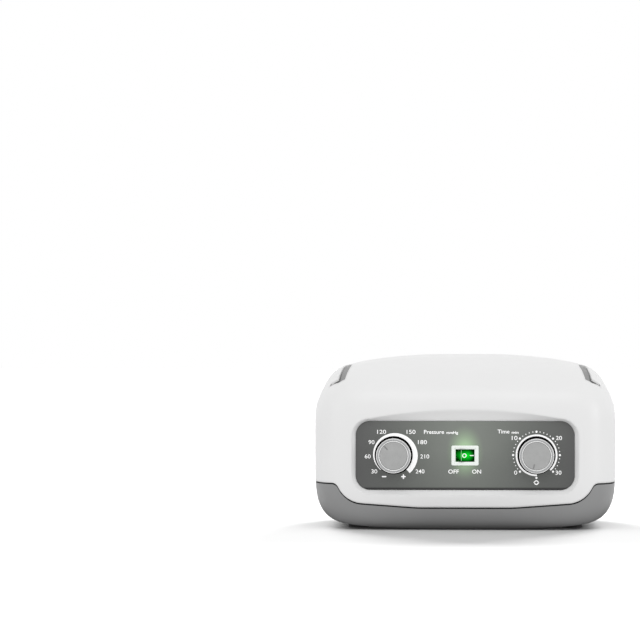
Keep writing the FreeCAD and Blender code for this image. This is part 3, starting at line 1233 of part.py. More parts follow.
def valve_motor():
    """Geared motor that turns the distributor, held against its bracket."""
    y1 = bracket_y()
    can = rod_y(VALVE_X, pinion_z(), y1 - MOTOR_LENGTH, y1, MOTOR_RADIUS)
    rim = [e for e in can.Edges if abs(e.BoundBox.YMax - (y1 - MOTOR_LENGTH)) < 1e-3]
    can = can.makeFillet(1.5, rim)
    ear = [box(VALVE_X + s * (MOTOR_RADIUS + 2.5) - 3.5, VALVE_X + s * (MOTOR_RADIUS + 2.5) + 3.5,
               y1 - 1.2, y1, pinion_z() - 4, pinion_z() + 4) for s in (-1, 1)]
    bore = rod_y(VALVE_X, pinion_z(), y1 - 6, y1 + 1, MOTOR_SHAFT + RUN_CLEARANCE)
    return can.fuse(ear).cut(bore)


def motor_pinion():
    """Pinion and its shaft, in mesh below the large gear."""
    turn = math.pi / 2 + math.pi / PINION_TEETH
    wheel = gear(PINION_TEETH, GEAR_MODULE, GEAR_THICK, VALVE_X, pinion_z(), gear_y(), turn)
    shaft = rod_y(VALVE_X, pinion_z(), bracket_y() - 5.5, gear_y() + GEAR_THICK + 1, MOTOR_SHAFT)
    return wheel.fuse(shaft)


def bracket_foot_plan():
    """Plan of the bracket's foot: x from and to, y from and to."""
    return (VALVE_X - BRACKET_WIDTH / 2, VALVE_X + BRACKET_WIDTH / 2, bracket_y(),
            bracket_y() + BRACKET_THICK + BRACKET_FOOT)


def valve_bracket():
    """Sheet bracket that carries the motor and the rotor's front bearing from the floor."""
    y0, y1 = bracket_y(), bracket_y() + BRACKET_THICK
    half = BRACKET_WIDTH / 2
    sheet = box(VALVE_X - half, VALVE_X + half, y0, y1, floor_z(), VALVE_Z + 8)
    foot = box(*bracket_foot_plan(), floor_z(), floor_z() + BRACKET_THICK)
    cuts = [rod_y(VALVE_X, pinion_z(), y0 - 1, y1 + 1, MOTOR_SHAFT + 1.0),
            rod_y(VALVE_X, VALVE_Z, y0 - 1, y1 + 1, ROTOR_SHAFT + RUN_CLEARANCE)]
    return sheet.fuse(foot).cut(cuts)


# ================================================================ tubes and leads
def outlet_tubes():
    """Four short hoses from the distributor to the outlets."""
    y0, y1 = manifold_back() + TUBE_SET, REAR_SEAT_Y - 12 - TUBE_SET
    hoses = []
    for a, b in zip(port_places(), outlet_places()):
        points = [V(a, y0, VALVE_Z), V(a, y0 + BARB_LENGTH + TUBE_LEAD, VALVE_Z),
                  V(b, y1 - BARB_LENGTH - TUBE_LEAD, PANEL_Z), V(b, y1, PANEL_Z)]
        hoses.append(tube(points, [20.0, 20.0]))
    return Part.makeCompound(hoses)


def cross_tube():
    """Hose that joins the two pump heads over the top."""
    y, z = head_barbs()[1], head_top() + 30.0
    xa, xb = head_x(-1), head_x(1)
    return tube([V(xa, y, head_top() + TUBE_SET), V(xa, y, z), V(xb, y, z),
                 V(xb, y, head_top() + TUBE_SET)], [18.0, 18.0])


def feed_tube():
    """Hose from the right head to the distributor."""
    y, z = head_barbs()[0], head_top() + 30.0
    xa = head_x(1)
    end = V(VALVE_X, valve_inlet_y(), VALVE_Z + COVER_RADIUS + COVER_WALL + TUBE_SET)
    return tube([V(xa, y, head_top() + TUBE_SET), V(xa, y, z), V(end.x, end.y, z), end],
                [14.0, 12.0])


def regulator_tube():
    """Hose from the left head to the pressure regulator."""
    y, z = head_barbs()[0], head_top() + 28.0
    start = V(-DIAL_X, regulator_back_y() + TUBE_SET, PANEL_Z)
    return tube([start, V(start.x, start.y + 16, PANEL_Z), V(start.x - 10, start.y + 16, z),
                 V(head_x(-1), y, z), V(head_x(-1), y, head_top() + TUBE_SET)],
                [11.0, 13.0, 12.0])


def lead(*points):
    """One insulated lead along straight runs and arcs."""
    route = [V(*p) for p in points]
    return swept(rounded_path(route, easy_radii(route)), LEAD_RADIUS)


def internal_leads():
    """Leads of the mains inlet, the switch, the distributor motor and the compressor coils."""
    leads, low = [], board_top() + 3.4
    for s, (x, y) in zip((-1, 1), socket_wires(2, 2)):
        tail_x = INLET_X + s * INLET_PIN_PITCH / 2
        leads.append(lead((tail_x, REAR_SEAT_Y - 22.1, INLET_Z), (tail_x, 50, INLET_Z),
                          (-104 - 3 * s, 42, 42 - 4 * s), (-104 - 3 * s, -32, 32 - 4 * s),
                          (-80, y - 2, 30 - 3 * s), (x, y, 34 - 3 * s), (x, y, low)))
    blade_y = panel_face_y() + SWITCH_BODY_DEPTH + BLADE_LENGTH + 0.1
    for blade_x, (x, y) in zip(BLADE_PLACES, socket_wires(0, 3)):
        leads.append(lead((blade_x, blade_y, PANEL_Z), (blade_x, blade_y + 11, PANEL_Z),
                          (x, blade_y + 11, 36), (x, y, 36), (x, y, low)))
    motor_y = bracket_y() - MOTOR_LENGTH - 0.1
    for s, (x, y) in zip((-1, 1), socket_wires(1, 2)):
        leads.append(lead((VALVE_X + 4 * s, motor_y, pinion_z()),
                          (VALVE_X + 4 * s, motor_y - 13, pinion_z()), (x, -44, 28), (x, y, 29),
                          (x, y, low)))
    coil_top = PUMP_Z + CORE_HIGH / 2 + COIL_CLEARANCE + COIL_THICK + 0.1
    coil_y = PUMP_Y - (core_back_offset() + MAGNET_THICK / 2 + CORE_GAP) / 2
    for s, (x, y) in zip((-1, 1), socket_wires(3, 2)):
        leads.append(lead((PUMP_X + 7 * s, coil_y, coil_top), (PUMP_X + 7 * s, coil_y, coil_top + 12),
                          (x, y, 58 + 3 * s), (x, y, low)))
    return Part.makeCompound(leads)


# ================================================================ electronics

def socket_wires(socket, count):
    """Plan places where leads enter one of the board's plug sockets."""
    x, y, length = SOCKET_PLACES[socket]
    pitch = (length - 2) / count
    return [(BOARD_X + x + pitch * (k - (count - 1) / 2), BOARD_Y + y) for k in range(count)]


def board_holes():
    """Plan places of the board's screws."""
    i = BOARD_HOLE_INSET
    return [(BOARD_X + sx * (BOARD_LENGTH / 2 - i), BOARD_Y + sy * (BOARD_DEPTH / 2 - i))
            for sx in (-1, 1) for sy in (-1, 1)]


def board_top():
    return BOARD_Z + BOARD_THICK


def control_board():
    """Circuit board on its studs."""
    x, y = BOARD_LENGTH / 2, BOARD_DEPTH / 2
    board = box(BOARD_X - x, BOARD_X + x, BOARD_Y - y, BOARD_Y + y, BOARD_Z, board_top())
    return board.cut([rod_z(a, b, BOARD_Z - 1, board_top() + 1, 1.4) for a, b in board_holes()])


def board_screws():
    """Four screws of the board."""
    return Part.makeCompound([screw_down(x, y, board_top(), 1.15, 2.4, 1.4, BOARD_THICK + 5)
                              for x, y in board_holes()])


def board_transformer():
    """Small encapsulated transformer."""
    top = board_top()
    block = box(BOARD_X - 40, BOARD_X - 12, BOARD_Y - 12, BOARD_Y + 12, top, top + 19)
    return block.makeFillet(1.2, [e for e in block.Edges if e.BoundBox.ZMax > top + 18.9
                                  and e.BoundBox.ZLength < 1e-6])


def board_capacitors():
    """Three round capacitors."""
    top, cans = board_top(), []
    for x, y, r, h in ((2.0, -9.0, 5.0, 14.0), (15.0, -9.0, 5.0, 14.0), (6.0, 8.0, 4.0, 11.0)):
        can = rod_z(BOARD_X + x, BOARD_Y + y, top, top + h, r)
        cans.append(can.makeFillet(0.8, [e for e in can.Edges
                                         if e.BoundBox.ZMin > top + h - 0.01]))
    return Part.makeCompound(cans)


def board_fuse():
    """Glass fuse with metal ends, lying in its clips."""
    z = board_top() + 4.0
    x0, y = BOARD_X + 24, BOARD_Y + 10
    tube_part = rod_x(y, z, x0 + 5, x0 + 15, 2.4)
    caps = [rod_x(y, z, x0, x0 + 5, 2.6), rod_x(y, z, x0 + 15, x0 + 20, 2.6)]
    clips = [box(x0 + k, x0 + k + 3, y - 2.0, y + 2.0, board_top(), z - 1.6) for k in (1, 16)]
    return join([tube_part] + caps + clips)


def board_connectors():
    """Plug sockets for the leads of the pump, the switch and the mains."""
    top = board_top()
    blocks = []
    for x, y, length in SOCKET_PLACES:
        outer = box(BOARD_X + x - length / 2, BOARD_X + x + length / 2, BOARD_Y + y - 4,
                    BOARD_Y + y + 4, top, top + 9)
        inner = box(BOARD_X + x - length / 2 + 1, BOARD_X + x + length / 2 - 1, BOARD_Y + y - 3,
                    BOARD_Y + y + 3, top + 3, top + 10)
        blocks.append(outer.cut(inner))
    return Part.makeCompound(blocks)


def build_all():
    """Every sub-part, drawn about the housing's middle."""
    outer = housing_form()
    inner = housing_form(WALL)
    FORMS["recess"] = housing_form(GRIP_DEEP)
    FORMS["grip_top"] = housing_form(GRIP_SINK)
    FORMS["rib"] = housing_form(WALL + GRIP_DEEP)
    FORMS["lip_gap"] = housing_form(WALL + LIP_CLEARANCE)
    FORMS["lip_out"] = housing_form(WALL - 0.4)
    FORMS["lip_in"] = housing_form(WALL + LIP_CLEARANCE + LIP_THICK)
    shapes = {
        "upper_housing": upper_housing(outer, inner),
        "lower_housing": lower_housing(outer, inner), "rear_plate": rear_plate(),
        "grip_inlays": Part.makeCompound([grip_inlay(-1), grip_inlay(1)]),
        "rubber_feet": rubber_feet(), "housing_screws": housing_screws(),
        "control_panel": control_panel(), "panel_nuts": panel_nuts(),
        "pressure_knob": knob(-DIAL_X), "pressure_knob_cap": knob_cap(-DIAL_X, PRESSURE_POINTER),
        "timer_knob": knob(DIAL_X), "timer_knob_cap": knob_cap(DIAL_X, TIMER_POINTER),
        "switch_frame": switch_frame(), "switch_rocker": switch_rocker(),
        "switch_terminals": switch_terminals(),
        "regulator_body": regulator_body(), "regulator_spindle": regulator_spindle(),
        "regulator_seat": regulator_seat(), "regulator_spring": regulator_spring(),
        "regulator_poppet": regulator_poppet(),
        "timer_case": timer_case(), "timer_plate": timer_plate(), "timer_shaft": timer_shaft(),
        "timer_barrel": timer_barrel(),
        "timer_arbor": timer_arbor(), "escape_wheel": escape_wheel(),
        "mains_inlet": mains_inlet(), "mains_inlet_pins": mains_inlet_pins(),
        "rear_screws": rear_screws(), "air_outlet_block": air_outlet_block(),
        "pump_frame": pump_frame(), "coil_cores": coil_cores(), "coil_windings": coil_windings(),
        "pump_screws": pump_screws(), "shuttle_rod": shuttle_rod(),
        "shuttle_magnets": shuttle_magnets(), "diaphragm_clamps": diaphragm_clamps(),
        "diaphragms": diaphragms(), "left_pump_head": pump_head(-1),
        "right_pump_head": pump_head(1), "pump_mounts": pump_mounts(),
        "intake_filter": intake_filter(),
        "valve_body": valve_body(), "valve_cover": valve_cover(), "valve_rotor": valve_rotor(),
        "valve_gear": valve_gear(), "valve_motor": valve_motor(), "motor_pinion": motor_pinion(),
        "valve_bracket": valve_bracket(),
        "outlet_tubes": outlet_tubes(), "cross_tube": cross_tube(), "feed_tube": feed_tube(),
        "regulator_tube": regulator_tube(), "internal_leads": internal_leads(),
        "control_board": control_board(), "board_screws": board_screws(),
        "board_transformer": board_transformer(), "board_capacitors": board_capacitors(),
        "board_fuse": board_fuse(), "board_connectors": board_connectors(),
    }
    return shapes


def middle_shift():
    """How far back everything moves so that the origin is under the middle of its length."""
    front = -knob_face_y()
    return (front - outlet_face_y()) / 2


def main():
    os.makedirs("parts", exist_ok=True)
    for name, shape in build_all().items():
        shape.translate(V(0, middle_shift(), 0))
        shape.exportStep("parts/" + name + ".step")
        print(name, "valid" if shape.isValid() else "NOT VALID", len(shape.Solids),
              round(shape.Volume, 1))


if __name__ == "__main__":
    main()
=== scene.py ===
# %% [markdown]
# # Dressing a tabletop compression therapy pump
#
# The pump blows air in turn through four hoses into a limb sleeve. Its solids are in model.glb.
# This lesson loads them as a fixed frame, gives every sub-part a finish, and adds what is too fine
# for the solids: printed scales, rounded knobs, the marks on the lit switch.
# Lengths are in metres. X runs to the right, Y to the back and Z up, and the panel faces -Y.

# %% Load the frame
import json
import math

import bmesh
import bpy
import numpy as np
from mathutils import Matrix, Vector


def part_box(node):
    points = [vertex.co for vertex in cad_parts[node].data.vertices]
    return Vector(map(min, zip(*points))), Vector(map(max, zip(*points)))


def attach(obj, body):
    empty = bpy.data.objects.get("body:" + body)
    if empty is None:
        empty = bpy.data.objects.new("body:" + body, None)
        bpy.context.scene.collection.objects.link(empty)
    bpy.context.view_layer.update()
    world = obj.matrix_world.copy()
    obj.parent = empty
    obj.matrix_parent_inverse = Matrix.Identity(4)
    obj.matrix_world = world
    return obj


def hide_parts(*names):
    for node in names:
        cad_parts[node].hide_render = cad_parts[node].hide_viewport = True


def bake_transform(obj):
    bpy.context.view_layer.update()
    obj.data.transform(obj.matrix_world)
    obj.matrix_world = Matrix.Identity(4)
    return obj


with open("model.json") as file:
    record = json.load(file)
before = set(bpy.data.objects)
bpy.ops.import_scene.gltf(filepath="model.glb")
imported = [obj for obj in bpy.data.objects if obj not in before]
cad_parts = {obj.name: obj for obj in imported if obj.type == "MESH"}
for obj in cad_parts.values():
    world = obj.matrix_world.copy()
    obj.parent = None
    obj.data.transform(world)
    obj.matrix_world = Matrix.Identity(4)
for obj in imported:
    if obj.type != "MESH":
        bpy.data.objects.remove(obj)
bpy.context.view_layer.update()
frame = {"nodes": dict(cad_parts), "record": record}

# %% [markdown]
# ## Places on the panel
#
# The panel's face, the row of dials and the knobs are read from the solids; most prints' places are
# given in mm.
# The two dials and the switch stand in one row, and the panel's face is the lowest Y of its node.

# %% Read the places from the nodes
MM = 0.001


def middle(node):
    """Middle of a node's box."""
    low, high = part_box(node)
    return (low + high) / 2


PANEL_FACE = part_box("control_panel")[0].y
ROW_Z = middle("control_panel").z
print("panel face at y =", round(PANEL_FACE / MM, 2), "mm, row of dials at z =",
      round(ROW_Z / MM, 2), "mm")

# %% [markdown]
# ## Surfaces from grids
#
# A new piece is a function of two parameters, worked out for a whole grid at once. Neighbours of
# the grid become quads. A grid whose first and last lines meet is joined there, points that fall
# together at a pole are merged, and open ends are filled, so that each piece is a closed skin
# with its faces outwards.

# %% Turn grids of points into one closed mesh
SAME_POINT = 2e-6       # metres; points closer together than this are merged


def grid_quads(rows, columns, join_rows, join_columns):
    """Four neighbours make one quad; a joined direction bridges its last line to its first."""
    i = np.arange(rows if join_rows else rows - 1)[:, None]
    j = np.arange(columns if join_columns else columns - 1)[None, :]
    down, right = (i + 1) % rows, (j + 1) % columns
    corners = np.broadcast_arrays(i * columns + j, i * columns + right,
                                  down * columns + right, down * columns + j)
    return np.stack(corners, -1).reshape(-1, 4)


def closed_piece(name, grids, material, body, sharp=35.0):
    """One object from (points, join_rows, join_columns) grids, with closed ends and poles."""
    points, quads, base = [], [], 0
    for grid, join_rows, join_columns in grids:
        rows, columns = grid.shape[:2]
        points.append(grid.reshape(-1, 3))
        quads.append(grid_quads(rows, columns, join_rows, join_columns) + base)
        base += rows * columns
    mesh = bpy.data.meshes.new(name)
    mesh.from_pydata(np.concatenate(points).tolist(), [], np.concatenate(quads).tolist())
    return finish_piece(name, mesh, material, body, sharp)


# %% Finish a piece and set it on its body
def finish_piece(name, mesh, material, body, sharp=35.0):
    """Merges doubles, fills open ends, turns faces outwards, and sets the piece on its body, if
    it has one."""
    work = bmesh.new()
    work.from_mesh(mesh)
    bmesh.ops.remove_doubles(work, verts=work.verts, dist=SAME_POINT)
    bmesh.ops.holes_fill(work, edges=[e for e in work.edges if e.is_boundary], sides=0)
    bmesh.ops.recalc_face_normals(work, faces=work.faces)
    work.to_mesh(mesh)
    work.free()
    mesh.shade_smooth()
    mesh.set_sharp_from_angle(angle=math.radians(sharp))
    mesh.materials.append(material)
    piece = bpy.data.objects.new(name, mesh)
    bpy.context.scene.collection.objects.link(piece)
    if body:
        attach(piece, body)
    print(name, "has", len(mesh.polygons), "faces")
    return piece


# %% [markdown]
# ## A small kit for finishes
#
# Every finish is a Principled shader. Numbers that are the same all over are set on the shader
# itself, and only what varies over the surface comes from nodes. Patterns read Object coordinates
# in metres, so a grain of 0.4 mm is 0.4 mm on every piece.

# %% Helpers that build shader nodes
def add(tree, kind, settings=None, **inputs):
    """Adds a shader node: a socket given as an input is linked, a value is set on it."""
    made = tree.nodes.new("ShaderNode" + kind)
    for key, value in (settings or {}).items():
        setattr(made, key, value)
    for key, value in inputs.items():
        socket = made.inputs[int(key[1:]) if key[0] == "n" and key[1:].isdigit()
                             else key.replace("_", " ")]
        if isinstance(value, bpy.types.NodeSocket):
            tree.links.new(value, socket)
        else:
            socket.default_value = value
    return made


def finish(name, colour, roughness, **shader):
    """A material whose shader has these constant values; returns material, tree and shader."""
    material = bpy.data.materials.new(name)
    material.use_nodes = True
    tree = material.node_tree
    skin = tree.nodes["Principled BSDF"]
    skin.inputs["Base Color"].default_value = (*colour, 1)
    skin.inputs["Roughness"].default_value = roughness
    for key, value in shader.items():
        skin.inputs[key.replace("_", " ")].default_value = value
    material.diffuse_color = (*colour, 1)
    return material, tree, skin


def drive(skin, **outputs):
    """Links each of these outputs to the shader's socket of that name."""
    for key, output in outputs.items():
        skin.id_data.links.new(output, skin.inputs[key.replace("_", " ")])


# %% Helpers for places and patterns
def maths(tree, operation, *values):
    """Result of one sum on numbers or outputs."""
    inputs = {"n" + str(k): value for k, value in enumerate(values)}
    return add(tree, "Math", {"operation": operation}, **inputs).outputs[0]


def length(tree, vector):
    """Length of a vector."""
    return add(tree, "VectorMath", {"operation": "LENGTH"}, n0=vector).outputs["Value"]


def place(tree, centre=(0, 0, 0), turn=(0, 0, 0), stretch=(1, 1, 1)):
    """Object coordinates about a centre, turned in degrees and stretched."""
    point = add(tree, "TexCoord").outputs["Object"]
    if tuple(centre) == (0, 0, 0) and tuple(turn) == (0, 0, 0) and tuple(stretch) == (1, 1, 1):
        return point
    moved = add(tree, "VectorMath", {"operation": "SUBTRACT"}, n0=point, n1=tuple(centre))
    return add(tree, "Mapping", Vector=moved.outputs[0], Rotation=[math.radians(a) for a in turn],
               Scale=tuple(stretch)).outputs[0]


def cloud(tree, point, size, detail=2.0):
    """Noise whose patches are about size across."""
    return add(tree, "TexNoise", Vector=point, Scale=1 / size, Detail=detail).outputs[0]


def level(tree, value, low, high, start=0.3, stop=0.7):
    """Carries start..stop to low..high, and no further. A noise is mostly from 0.3 to 0.7."""
    return add(tree, "MapRange", Value=value, From_Min=start, From_Max=stop,
               To_Min=low, To_Max=high).outputs[0]


# %% Helpers for colour and relief
def tint(tree, factor, first, second):
    """Colour from first, at factor 0, to second, at 1."""
    mix = add(tree, "Mix", {"data_type": "RGBA"}, n0=factor)
    for index, colour in ((6, first), (7, second)):
        if isinstance(colour, bpy.types.NodeSocket):
            tree.links.new(colour, mix.inputs[index])
        else:
            mix.inputs[index].default_value = (*colour, 1)
    return mix.outputs[2]


def relief(tree, height, depth, under=None, strength=1.0):
    """Bumps that rise by depth where height is 1."""
    bump = add(tree, "Bump", Height=height, Distance=depth, Strength=strength)
    if under is not None:
        tree.links.new(under, bump.inputs["Normal"])
    return bump.outputs[0]


def shade(colour, times):
    """The colour, each of its three shares times this."""
    return tuple(min(1.0, c * times) for c in colour)


# %% [markdown]
# ## Moulded plastic
#
# The shell, the tray and most inner parts are injection moulded. A mould's faces are spark-eroded,
# which leaves a fine even grain, and the colour of the melt drifts by a percent or two. Two
# noises do both: a broad one moves the colour and the gloss, and a fine one lifts the surface by
# a few hundredths of a millimetre. A third, wide and shallow, is the slight sink of a thin wall.

# %% Moulded plastic of any colour
def moulded(name, colour, roughness, grain=0.35, rise=0.012, drift=0.03, sink=0.02, **shader):
    """colour times 1 -+ drift by a 40 mm noise; height = rise by a grain-sized noise
    plus sink by an 18 mm one, all in millimetres."""
    material, tree, skin = finish(name, colour, roughness, **shader)
    point = place(tree)
    broad = cloud(tree, point, 40 * MM, 3)
    fine = cloud(tree, point, grain * MM, 2)
    paint = tint(tree, level(tree, broad, 0, 1), shade(colour, 1 - drift), shade(colour, 1 + drift))
    gloss = level(tree, cloud(tree, point, 9 * MM, 4), roughness * 0.86, roughness * 1.16)
    waves = relief(tree, cloud(tree, point, 18 * MM, 1), sink * MM)
    drive(skin, Base_Color=paint, Roughness=gloss,
          Normal=relief(tree, fine, rise * MM, waves, 0.6))
    return material


FINISHES = {
    "white_shell": moulded("white_shell", (0.80, 0.80, 0.80), 0.32, grain=0.8, rise=0.002,
                           drift=0.006, sink=0.004),
    "grey_base": moulded("grey_base", (0.255, 0.256, 0.257), 0.42, grain=0.6, rise=0.012),
    "bezel_white": moulded("bezel_white", (0.92, 0.96, 0.92), 0.28, drift=0.01),
    "socket_black": moulded("socket_black", (0.022, 0.022, 0.024), 0.45, rise=0.02),
    "outlet_grey": moulded("outlet_grey", (0.10, 0.104, 0.11), 0.42, rise=0.02),
    "timer_nylon": moulded("timer_nylon", (0.66, 0.65, 0.60), 0.5, drift=0.05),
    "head_nylon": moulded("head_nylon", (0.07, 0.07, 0.078), 0.5, rise=0.03, drift=0.1),
    "valve_acetal": moulded("valve_acetal", (0.74, 0.74, 0.72), 0.38, drift=0.02),
    "connector_white": moulded("connector_white", (0.74, 0.73, 0.68), 0.42, drift=0.03),
    "capacitor_blue": moulded("capacitor_blue", (0.04, 0.07, 0.25), 0.3, rise=0.004),
    "lead_red": moulded("lead_red", (0.40, 0.04, 0.03), 0.4, rise=0.006),
}
print(len(FINISHES), "moulded finishes")

# %% [markdown]
# ## The groove between the shells
#
# Both finishes are painted black inside the groove between the white shell and the grey tray:
# painted shade, where the groove lies in shadow. The parting line is level runs, a slope and a
# steep drop whose corners are arcs. Its height at each |x| goes into a curve node, and the finish
# compares a point's height with it.

# %% Round off the corners of a line
def rounded(corners, radii, steps=6):
    """Each inner corner becomes an arc of its radius that touches both runs: with a and b the
    ways from its centre to its ends and w the angle between them, the points are
    centre + (sin((1-t)w) a + sin(tw) b) / sin(w)."""
    corners = np.array(corners, float)
    t = np.linspace(0, 1, steps)[:, None]
    parts = [corners[:1]]
    for before, corner, after, radius in zip(corners, corners[1:], corners[2:], radii):
        back = (before - corner) / np.linalg.norm(before - corner)
        ahead = (after - corner) / np.linalg.norm(after - corner)
        half = np.arccos(np.clip(back @ ahead, -1, 1)) / 2
        centre = corner + (back + ahead) / np.linalg.norm(back + ahead) * radius / np.sin(half)
        first = corner + back * radius / np.tan(half) - centre
        last = corner + ahead * radius / np.tan(half) - centre
        whole = np.pi - 2 * half
        arc = (np.sin((1 - t) * whole) * first + np.sin(t * whole) * last) / np.sin(whole)
        parts.append(centre + arc if radius else corner[None])
    return np.concatenate(parts + [corners[-1:]])


# %% Height above the parting line
SEAM_CORNERS = [(0, 17.3), (37, 17.3), (92.6, 21.3), (100.6, 36), (125, 36)]    # |x| and z, mm
SEAM_BENDS = [145, 22, 5.5]                     # radii of its inner corners, mm
SEAM_LINE = rounded(SEAM_CORNERS, SEAM_BENDS, 12) * MM
SEAM_SPAN = SEAM_LINE[-1][0]


def above_seam(tree, point):
    """Height of a point above the parting line: z - line(|x|)."""
    x, _, z = add(tree, "SeparateXYZ", Vector=point).outputs
    share = maths(tree, "DIVIDE", maths(tree, "ABSOLUTE", x), SEAM_SPAN)
    line = add(tree, "FloatCurve", Value=share)
    curve = line.mapping.curves[0]
    curve.points[0].location = SEAM_LINE[0] / SEAM_SPAN
    curve.points[1].location = SEAM_LINE[-1] / SEAM_SPAN
    for at, height in SEAM_LINE[1:-1] / SEAM_SPAN:
        curve.points.new(at, height)
    for knot in curve.points:
        knot.handle_type = "VECTOR"
    line.mapping.update()
    return maths(tree, "SUBTRACT", z, maths(tree, "MULTIPLY", line.outputs[0], SEAM_SPAN))


print("parting line from z =", round(SEAM_LINE[0][1] / MM, 1), "to",
      round(SEAM_LINE[-1][1] / MM, 1), "mm")

# %% Paint shade into both finishes in the groove
# Black of the painted shade in the groove
GROOVE_SHADE_BLACK = (0.006, 0.006, 0.006)
GROOVE_EDGES = {"grey_base": (-0.64, -0.56), "white_shell": (0.54, 0.46)}   # clean, black, in mm
SHELL_EDGE = 2.6 * MM       # the shell's edges look rounded by this radius


def darken_groove(material, start, stop):
    """Painted shade: turns the colour black where the height above the line goes from start to
    stop, in mm.
    """
    tree = material.node_tree
    colour = tree.nodes["Principled BSDF"].inputs["Base Color"]
    paint = colour.links[0].from_socket
    inside = level(tree, above_seam(tree, place(tree)), 0, 1, start * MM, stop * MM)
    tree.links.new(tint(tree, inside, paint, GROOVE_SHADE_BLACK), colour)


def soften_edges(material, radius):
    """Shades edges as if they were rounded by this radius, below the other relief."""
    tree = material.node_tree
    soft = add(tree, "Bevel", {"samples": 4}, Radius=radius)
    bumps = [node for node in tree.nodes if node.type == "BUMP" and not node.inputs["Normal"].links]
    for bump in bumps:
        tree.links.new(soft.outputs[0], bump.inputs["Normal"])


soften_edges(FINISHES["white_shell"], SHELL_EDGE)
for name, (clean, black) in GROOVE_EDGES.items():
    darken_groove(FINISHES[name], clean, black)
print("both shells are dark in their groove")

# %% [markdown]
# ## Rubber and soft grip
#
# Rubber is matt, and fine dust settles in its pores. A sheen gives the pale rim of light that a
# soft-touch strip shows, and the pores are a noise cut off so that only its dips count.

# %% Rubber of any colour
def rubber(name, colour, roughness, pore=0.6, dust=0.25, **shader):
    """Dips where a pore-sized noise is low; dust pales the colour where a 25 mm noise is high."""
    material, tree, skin = finish(name, colour, roughness, Sheen_Weight=0.25, Sheen_Roughness=0.45,
                                  **shader)
    point = place(tree)
    pores = level(tree, cloud(tree, point, pore * MM, 3), 0, 1, 0.35, 0.55)
    dusty = level(tree, cloud(tree, point, 25 * MM, 5), 0, dust, 0.4, 0.75)
    pale = tuple(c + (0.45 - c) * 0.3 for c in colour)
    drive(skin, Base_Color=tint(tree, dusty, colour, pale), Normal=relief(tree, pores, 0.03 * MM))
    return material


FINISHES.update({
    "grip_grey": rubber("grip_grey", (0.235, 0.235, 0.235), 0.62, pore=0.5),
    "foot_rubber": rubber("foot_rubber", (0.022, 0.022, 0.022), 0.8),
    "poppet_rubber": rubber("poppet_rubber", (0.03, 0.03, 0.03), 0.7),
    "diaphragm_rubber": rubber("diaphragm_rubber", (0.035, 0.034, 0.033), 0.65, pore=0.4),
})
print(len(FINISHES), "finishes with the rubbers")

# %% [markdown]
# Each grip strip ends in a short tail that lies deep in its groove at the front, in shadow. It
# begins 97 mm from the middle, and the finish is painted nearly black there: painted shade.

# %% Paint shade on the grips' tails
# Painted shade: the grey of the tails in their groove's shadow
TAIL_SHADE_GREY = (0.035, 0.035, 0.035)
TAIL_START, TAIL_DARK = 97 * MM, 98.6 * MM
tree = FINISHES["grip_grey"].node_tree
colour = tree.nodes["Principled BSDF"].inputs["Base Color"]
across = add(tree, "SeparateXYZ", Vector=place(tree)).outputs[0]
tail_shade = level(tree, maths(tree, "ABSOLUTE", across), 0, 1, TAIL_START, TAIL_DARK)
tree.links.new(tint(tree, tail_shade, colour.links[0].from_socket, TAIL_SHADE_GREY), colour)
print("grips turn dark from", round(TAIL_START / MM), "mm out")

# %% [markdown]
# ## Metals
#
# Turned parts carry the tool's rings round their own axis, so the pattern is the distance from
# that axis. Ground and drawn parts carry scratches along one direction, which is a noise
# stretched that way. Both patterns move the roughness more than the colour.

# %% Turned metal
def turned_metal(name, colour, roughness, centre, pitch=0.25, rise=0.004):
    """Rings about a Y axis through centre: height = noise of (distance from the axis / pitch)."""
    material, tree, skin = finish(name, colour, roughness, Metallic=1.0)
    point = place(tree, centre, stretch=(1, 0, 1))
    line = add(tree, "CombineXYZ", X=length(tree, point)).outputs[0]
    rings = cloud(tree, line, pitch * MM, 1)
    worn = cloud(tree, place(tree), 6 * MM, 4)
    drive(skin, Roughness=level(tree, rings, roughness * 0.8, roughness * 1.25),
          Base_Color=tint(tree, level(tree, worn, 0, 1), shade(colour, 0.95), shade(colour, 1.04)),
          Normal=relief(tree, rings, rise * MM))
    return material


# %% Brushed metal
def brushed_metal(name, colour, roughness, along=(0.06, 1, 1), grain=0.3, stain=0.08):
    """Scratches: a noise stretched along the axis whose share is small."""
    material, tree, skin = finish(name, colour, roughness, Metallic=1.0)
    scratches = cloud(tree, place(tree, stretch=along), grain * MM, 3)
    patches = cloud(tree, place(tree), 12 * MM, 5)
    drive(skin, Roughness=level(tree, scratches, roughness * 0.7, roughness * 1.3),
          Base_Color=tint(tree, level(tree, patches, 0, 1), shade(colour, 1 - stain),
                          shade(colour, 1 + stain / 2)),
          Normal=relief(tree, scratches, 0.006 * MM))
    return material


METALS = {      # colour, roughness, and then the way, grain and stain of the scratches
    "screw_steel": ((0.52, 0.53, 0.54), 0.34, (1, 1, 1), 0.5),
    "regulator_alloy": ((0.60, 0.61, 0.62), 0.3, (1, 0.1, 1)),
    "contact_brass": ((0.70, 0.52, 0.24), 0.3),
    "pinion_brass": ((0.66, 0.48, 0.22), 0.3, (1, 0.1, 1)),
    "timer_brass": ((0.72, 0.55, 0.26), 0.32, (0.1, 1, 1)),
    "spring_steel": ((0.42, 0.42, 0.44), 0.28, (1, 0.2, 1)),
    "shaft_steel": ((0.55, 0.55, 0.57), 0.22, (1, 0.08, 1)),
    "pump_alloy": ((0.50, 0.51, 0.52), 0.5, (1, 1, 1), 0.9, 0.12),
    "magnet_dark": ((0.36, 0.36, 0.38), 0.25, (1, 1, 1), 0.6),
    "motor_steel": ((0.58, 0.58, 0.59), 0.26, (1, 0.06, 1)),
}
for name, values in METALS.items():
    FINISHES[name] = brushed_metal(name, *values)
print(len(FINISHES), "finishes so far")

# %% [markdown]
# ## The parts nobody sees until the pump is opened
#
# The compressor's cores are stacks of thin varnished sheets, so their colour and height step
# along the stack. Its windings are rows of enamelled wire. The circuit board has copper tracks
# under green lacquer, the intake filter is felt, and the hoses are milky silicone.

